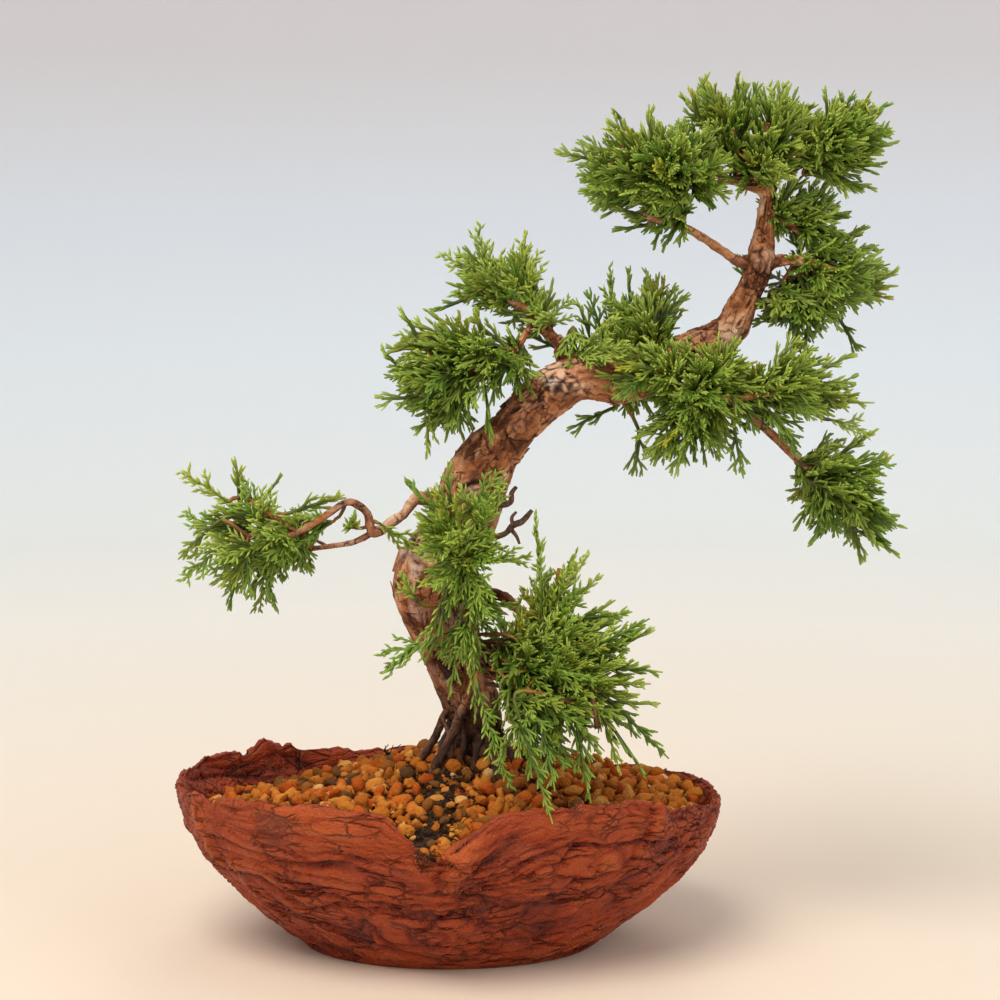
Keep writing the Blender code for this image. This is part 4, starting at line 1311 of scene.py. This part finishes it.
def limb_piece(name, lofts, limb):
    """One piece of bark from several lofts."""
    grids, fields = [], {"tone": [], "split": [], "weathered": [], "damp": []}
    for loft in lofts:
        lift, *values = bark_relief(loft, limb)
        grids.append(displaced(loft.grid, lift))
        for key, value in zip(fields, values):
            fields[key].append(value)
    return closed_grids(name, grids, fields), grids


def make_trunk(material):
    """The trunk, its surface roots, and bark strips that lift off it."""
    trunk = Loft(TRUNK_ROUTE, 0.55, 144)
    piece, grids = limb_piece("trunk_bark", [trunk], "trunk")
    put(piece, material, "bark", "trunk")
    roots = [Loft(route, 0.7, 26) for route in ROOT_ROUTES]
    piece, _ = limb_piece("surface_roots", roots, "root")
    put(piece, material, "bark", "trunk")
    make_strips(trunk, grids[0], material)


def make_strips(trunk, surface, material):
    """Peeling strips: thin plates that hug the trunk at one end and curl away at the other."""
    rng = np.random.default_rng(5)
    normals = grid_normals(surface)
    rows, columns = surface.shape[:2]
    grids, fields = [], {"tone": [], "split": [], "weathered": [], "damp": []}
    for _ in range(230):
        row = int(rows * rng.beta(2.2, 2.0) * 0.86) + 18
        column = rng.integers(columns)
        place, out = surface[row, column], normals[row, column]
        along = trunk.along[row] * rng.choice((-1, 1))
        around = np.cross(out, along)
        size = trunk.radius[row] / 9
        length, width = rng.uniform(2.5, 6.0) * size, rng.uniform(1.2, 3.4) * size
        curl = rng.uniform(0.15, 0.9) * size
        across = np.array((-1, -0.35, 0.35, 1, 0.35, -0.35)) * width / 2
        skin = np.array((0.3, 0.32, 0.32, 0.3, 0.0, 0.0)) * 0.8
        ring_rows = []
        for t in np.linspace(0, 1, 6):
            taper = 1 - 0.75 * t ** 2
            middle = place + along * length * (t - 0.3) + out * (curl * t ** 2 - 0.15)
            middle = middle - out * (length * (t - 0.3)) ** 2 * 0.01
            hug = skin - 0.12 * across ** 2 / size
            ring_rows.append(middle + around * (across * taper)[:, None] + out * hug[:, None])
        grids.append(np.array(ring_rows))
        tone = rng.uniform(0.25, 0.6)
        shape = (6, 6)
        fields["tone"].append(np.full(shape, tone))
        fields["split"].append(np.zeros(shape))
        fields["weathered"].append(np.full(shape, rng.choice((0.0, 0.0, 0.5))))
        # Strips low on the trunk are darker towards the soil too
        fields["damp"].append(np.full(shape, 0.9 * float(1 - smoothstep(np.array(place[2]), 66, 96))))
    piece = closed_grids("bark_strips", grids, fields)
    bm = bmesh.new()
    bm.from_mesh(piece.data)
    bmesh.ops.recalc_face_normals(bm, faces=bm.faces)
    bm.to_mesh(piece.data)
    bm.free()
    put(piece, material, "bark", "trunk")


def make_stems(bark, dead):
    """The stems and the two dead stubs, one piece for each."""
    for name, routes in STEM_ROUTES.items():
        piece, _ = limb_piece(name + "_bark", [Loft(route, 0.55, 20) for route in routes], "stem")
        if name.startswith("dead"):
            put(piece, dead, "dead_wood", name)
        else:
            put(piece, bark, "bark", name)


# ---------------------------------------------------------------- foliage

def unit(vector):
    """The vector at a length of one."""
    return vector / max(np.linalg.norm(vector), 1e-9)


def bent(start, heading, bend, length, t):
    """The place at a share t of a cord that leaves start along heading and turns towards bend."""
    return start + length * (heading * t + (bend - heading) * 0.5 * t ** 2)


def arc(start, heading, bend, length, count):
    """Points spread evenly along such a cord."""
    return bent(start, heading, bend, length, np.linspace(0, 1, count)[:, None])


def cord_spray(strands, rng, base, grow, face, length, tint, fresh, width=1.0):
    """A flat fan of scale-leaved cords: one axis, laterals to both sides, and a few fingers on those.

    Fresh is how near to lime its tips come, and width is a share of the laterals' usual reach.
    """
    side = unit(np.cross(grow, face))
    bend = unit(grow + rng.normal(0, 0.2) * side + rng.normal(0, 0.15) * face)
    strands.add(arc(base, grow, bend, length, 7), (0.62, 0.58, 0.5, 0.26),
                (0.22, 0.3, 0.46, 0.96 * fresh), tint)
    hand = 1
    spot = 0.2 * length
    while spot < 0.93 * length:
        t = spot / length
        start = bent(base, grow, bend, length, t)
        along = unit(grow + (bend - grow) * t)
        reach = ((0.5 * (length - spot) + 1.6) * width + 0.8) * rng.uniform(0.7, 1.25) * min(1, 0.5 + 1.6 * t)
        tilt = face * rng.uniform(-0.3, 0.3)
        heading = unit(along + 0.66 * hand * side + tilt)
        turned = unit(along + 0.24 * hand * side + tilt)
        young = 0.34 + 0.3 * t
        strands.add(arc(start, heading, turned, reach, 4), (0.52, 0.48, 0.26),
                    (young - 0.04, young + 0.1, 0.97 * fresh), tint)
        finger_row(strands, rng, start, heading, turned, reach, side, face, young, fresh, tint)
        if rng.random() < 0.5:
            stub = unit(along - 0.7 * hand * side - tilt)
            strands.add(arc(start, stub, along, rng.uniform(2.0, 4.2), 3), (0.5, 0.44, 0.24),
                        (young + 0.06, 0.9 * fresh), tint)
        hand = -hand
        spot += rng.uniform(2.7, 3.8)


def finger_row(strands, rng, start, heading, turned, reach, side, face, young, fresh, tint):
    """Short forks along one lateral, to its two sides in turn."""
    turn = 1
    spot = 0.28 * reach
    while spot < reach - 0.9:
        u = spot / reach
        root = bent(start, heading, turned, reach, u)
        along = unit(heading + (turned - heading) * u)
        size = min(4.6, 0.6 * (reach - spot) + 1.4) * rng.uniform(0.8, 1.25)
        way = unit(along + 0.6 * turn * side + face * rng.uniform(-0.3, 0.3))
        strands.add(arc(root, way, unit(way + 0.8 * along), size, 3), (0.48, 0.42, 0.22),
                    (young + 0.08, 0.97 * fresh), tint)
        turn = -turn
        spot += rng.uniform(2.2, 3.2)


def needle_spray(strands, rng, base, grow, face, length, tint, fresh, width=1.0):
    """Young growth: an axis and a few laterals, each set with short pointed leaves."""
    side = unit(np.cross(grow, face))
    bend = unit(grow + rng.normal(0, 0.25) * side)
    arms = [(base, grow, bend, length)]
    hand = 1
    for t in np.arange(0.18, 0.86, 3.6 / length):
        start = bent(base, grow, bend, length, t)
        reach = ((0.45 * length * (1 - t) + 1.6) * width + 1.2) * rng.uniform(0.75, 1.2)
        tilt = face * rng.uniform(-0.4, 0.4)
        heading, turned = unit(grow + 0.85 * hand * side + tilt), unit(grow + 0.4 * hand * side + tilt)
        arms.append((start, heading, turned, reach))
        hand = -hand
    for start, heading, turned, reach in arms:
        strands.add(arc(start, heading, turned, reach, 4), (0.46, 0.4, 0.2), (0.44, 0.7, fresh), tint)
        across = unit(np.cross(turned, face))
        turn = 1
        spot = 0.9
        while spot < reach:
            u = spot / reach
            root = bent(start, heading, turned, reach, u)
            along = unit(heading + (turned - heading) * u)
            way = unit(along + 0.95 * turn * across + face * rng.uniform(-0.6, 0.6))
            size = rng.uniform(2.8, 4.6) * (1 - 0.35 * u)
            strands.add(arc(root, way, unit(way + along), size, 3), (0.38, 0.46, 0.05),
                        (0.7, min(1, 1.08 * fresh)), tint)
            turn = -turn
            spot += 1.4


def twig(strands, rng, start, end, grow, radii, ages, tint):
    """A woody twig from start to end that arrives along grow."""
    reach = np.linalg.norm(end - start)
    middle = end - grow * reach * 0.22 + rng.normal(0, 0.05, 3) * reach
    t = np.linspace(0, 1, 7)[:, None]
    points = (1 - t) ** 2 * start + 2 * t * (1 - t) * middle + t ** 2 * end
    points[1:-1] += rng.normal(0, 0.16, (5, 3))
    strands.add(points, radii, ages, tint)


def make_foliage(name, kind, lobes, tree, material):
    """One mass: its leading shoots, tufts of sprays that fan out of twig ends, and the twigs themselves."""
    rng = np.random.default_rng(sum(map(ord, name)))
    strands = Strands()
    # This mass sweeps down over the bowl in long and narrow sprays
    sweeping = name == "foliage_low_right"
    spine = np.concatenate([smooth_route(route, 2.5)[4:, :3]
                            for stem in FOLIAGE_STEMS[name] for route in STEM_ROUTES[stem]])

    def grow_spray(base, grow, length, fresh, width):
        """One spray, painted a little warmer and lighter at the tips the more upright it grows, as light from
        above, on top of its own random freshness.
        """
        face = unit(np.cross(grow, unit(rng.normal(0, 1, 3))) + 0.5 * np.array((0, -0.3, 1)))
        # Upright sprays get warmer tints and lighter tips: painted light from above
        tint = float(np.clip(rng.normal(0.5, 0.2) + 0.12 * grow[2], 0.02, 0.95))
        fresh = fresh * (0.95 + 0.09 * grow[2])
        needly = rng.random() < (0.75 if kind == "needles" else 0.1) or (sweeping and grow[2] > 0.75)
        spray = needle_spray if needly else cord_spray
        spray(strands, rng, base, grow, face, length, tint, fresh, width)

    for foot, tip in LEADERS[name]:
        foot, tip = np.array(foot, float), np.array(tip, float)
        length = np.linalg.norm(tip - foot)
        grow_spray(foot, unit(tip - foot), length, rng.uniform(0.85, 1.0), min(1.0, 16 / length))
        near = spine[np.linalg.norm(spine - foot, axis=1).argmin()]
        twig(strands, rng, near, foot, unit(tip - foot), (0.75, 0.6), (0.02, 0.08, 0.16, 0.27), 0.6)
    for lobe in lobes:
        tufts = max(2, round(lobe.sprays * (0.85 if kind == "needles" else 1.15) / SPRAYS_IN_TUFT))
        for number in range(tufts):
            height = 1 - 2 * (number + 0.5) / tufts
            turn = number * GOLDEN_TURN + rng.uniform(-0.5, 0.5)
            flat = math.sqrt(1 - height * height)
            out = np.array((flat * math.cos(turn), flat * math.sin(turn), height))
            crest = lobe.centre + lobe.half * out * rng.uniform(0.8, 1.05)
            away = np.linalg.norm(crest - lobe.source)
            heading = unit((crest - lobe.source) / away + 0.3 * out + 0.12 * rng.normal(0, 1, 3))
            deep = (rng.uniform(16, 23) + 0.25 * max(0.0, away - 26)) * (1.3 if sweeping else 1.0)
            deep = min(0.92 * away, deep)
            foot = crest - heading * deep
            nearest = np.argsort(np.linalg.norm(spine - (foot + lobe.source) / 2, axis=1))
            near = spine[nearest[rng.integers(4)]]
            twig(strands, rng, near, foot, heading, (0.62, 0.5), (0.0, 0.05, 0.1, 0.17), 0.6)
            across = unit(np.cross(heading, unit(rng.normal(0, 1, 3))))
            beside = np.cross(heading, across)
            for k in range(SPRAYS_IN_TUFT):
                lean = 0.72 * math.sqrt((k + 0.3) / SPRAYS_IN_TUFT)
                round_it = k * GOLDEN_TURN
                grow = heading + lean * (across * math.cos(round_it) + beside * math.sin(round_it))
                grow = unit(grow + 0.1 * rng.normal(0, 1, 3))
                full = deep * (1 - 0.25 * lean) * rng.uniform(0.78, 1.14)
                tip = foot + grow * full
                if any(np.linalg.norm((tip - other.centre) / other.half) < 0.6
                       for other in lobes if other is not lobe):
                    continue
                grow_spray(foot + grow * 0.06 * full, grow, 0.94 * full, rng.uniform(0.74, 1.0),
                           0.62 if sweeping else 1.0)
                twig(strands, rng, foot, foot + grow * 0.1 * full, grow, (0.6, 0.58), (0.17, 0.24), 0.5)
    piece = strands.piece(name + "_sprays", tree, 4, material)
    return put(piece, material, "foliage", name)


# ---------------------------------------------------------------- stage

def make_stage():
    """A round sweep of pale paper: cream floor, cool grey middle, faintly pink top. Lengths are metres."""
    floor_radius, bend, top, sides = 1.5, 0.55, 2.6, 128
    profile = [(0.0, 0.0), (0.4, 0.0), (0.7, 0.0), (floor_radius - bend, 0.0)]
    profile += [(floor_radius - bend + bend * math.sin(a), bend - bend * math.cos(a))
                for a in np.linspace(0.1, math.pi / 2, 20)]
    profile += [(floor_radius, z) for z in np.linspace(bend + 0.1, top, 12)]
    turns = 2 * np.pi * np.arange(sides) / sides
    verts, faces, sweep = [], [], []
    reach = 0.0
    for i, (radius, z) in enumerate(profile):
        if i:
            reach += math.dist(profile[i - 1], (radius, z))
        for a in turns:
            verts.append((radius * math.cos(a), radius * math.sin(a), z))
            sweep.append(reach)
    for i in range(len(profile) - 1):
        for k in range(sides):
            j = (k + 1) % sides
            faces.append((i * sides + k, i * sides + j, (i + 1) * sides + j, (i + 1) * sides + k))
    mesh = bpy.data.meshes.new("paper_sweep")
    mesh.from_pydata(verts, [], faces)
    made = mesh.attributes.new("sweep", "FLOAT", "POINT")
    made.data.foreach_set("value", sweep)
    mesh.shade_smooth()
    paper, tree, shader = new_material("backdrop_paper", 0.9, 0.1)
    place = add(tree, "ShaderNodeMapRange",
                {"Value": attribute(tree, "sweep"), "From Min": 0.0, "From Max": 2.2})
    tone = ramp(tree, place.outputs["Result"],
                [(0.0, "#ebd8c3"), (0.16, "#e8e1d3"), (0.3, "#e9e9e2"), (0.46, "#e5ecea"),
                 (0.59, "#dae4ea"), (0.66, "#d2dae2"), (0.73, "#cccbce"), (1.0, "#c9c2c3")])
    tree.links.new(tone, shader.inputs["Base Color"])
    mesh.materials.append(paper)
    link_mesh("paper_sweep", mesh)


def area_light(name, place, target, size, power, tone):
    """A round soft light, with its places and size in metres and its power in watts."""
    light = bpy.data.lights.new(name, "AREA")
    light.shape = "DISK"
    light.size = size
    light.energy = power
    light.color = colour(tone)[:3]
    lamp = bpy.data.objects.new(name, light)
    lamp.location = place
    lamp.rotation_euler = (Vector(target) - Vector(place)).to_track_quat("-Z", "Y").to_euler()
    bpy.context.scene.collection.objects.link(lamp)


def make_lights():
    """Soft daylight from above and in front, a weak fill from the right, and a weak light from behind."""
    area_light("key_light", (-0.6, -0.9, 1.7), (0.02, 0, 0.14), 1.4, 33, "#fff8ee")
    area_light("fill_light", (1.0, -0.7, 0.7), (0.02, 0, 0.14), 1.0, 3, "#f4f8ff")
    area_light("back_light", (0.3, 1.1, 1.3), (0.02, 0, 0.16), 1.0, 4, "#ffffff")
    world = bpy.context.scene.world or bpy.data.worlds.new("studio")
    bpy.context.scene.world = world
    world.use_nodes = True
    world.node_tree.nodes["Background"].inputs["Color"].default_value = colour("#f4f6fa")
    world.node_tree.nodes["Background"].inputs["Strength"].default_value = 0.49
    bpy.context.scene.view_settings.view_transform = "Standard"


def make_camera():
    """A long lens a little above the bowl's rim, tilted gently down."""
    camera = bpy.data.cameras.new("camera")
    camera.lens = 93.6
    camera.clip_end = 20
    holder = bpy.data.objects.new("camera", camera)
    holder.location = (0.0167, -0.838, 0.2556)
    holder.rotation_euler = (math.radians(90 - 7.4), 0, 0)
    bpy.context.scene.collection.objects.link(holder)
    bpy.context.scene.camera = holder


def main():
    """The studio first, then the pot, its soil and the tree from the trunk outwards."""
    make_camera()
    make_stage()
    make_lights()
    bark = juniper_bark(
        "juniper_bark", [(0.0, "#552a12"), (0.3, "#8c5028"), (0.5, "#b27044"), (0.7, "#cd9064"),
                         (0.95, "#e6b690")], "#28110a")
    dead = juniper_bark(
        "dead_juniper_wood", [(0.0, "#3a261a"), (0.5, "#6d4f3a"), (1.0, "#a08468")], "#22140c", 0.3)
    strands = strand_tree()
    make_pot(fired_stoneware())
    make_bed(dusty_bed())
    make_grit(akadama_clay())
    make_peat(damp_peat(), root_fibre(), strands)
    make_trunk(bark)
    make_stems(bark, dead)
    sprays = juniper_sprays()
    for name, (kind, lobes) in FOLIAGE.items():
        make_foliage(name, kind, lobes, strands, sprays)
    straw = Strands()
    straw.add(np.array([(-12, 14, 60), (-7, 13, 61.5), (-2, 12, 63.5)], float), (0.45, 0.4), (0, 1), 0.5)
    straw_skin = dry_straw()
    put(straw.piece("straw_bit", strands, 6, straw_skin), straw_skin, "dead_wood")


main()
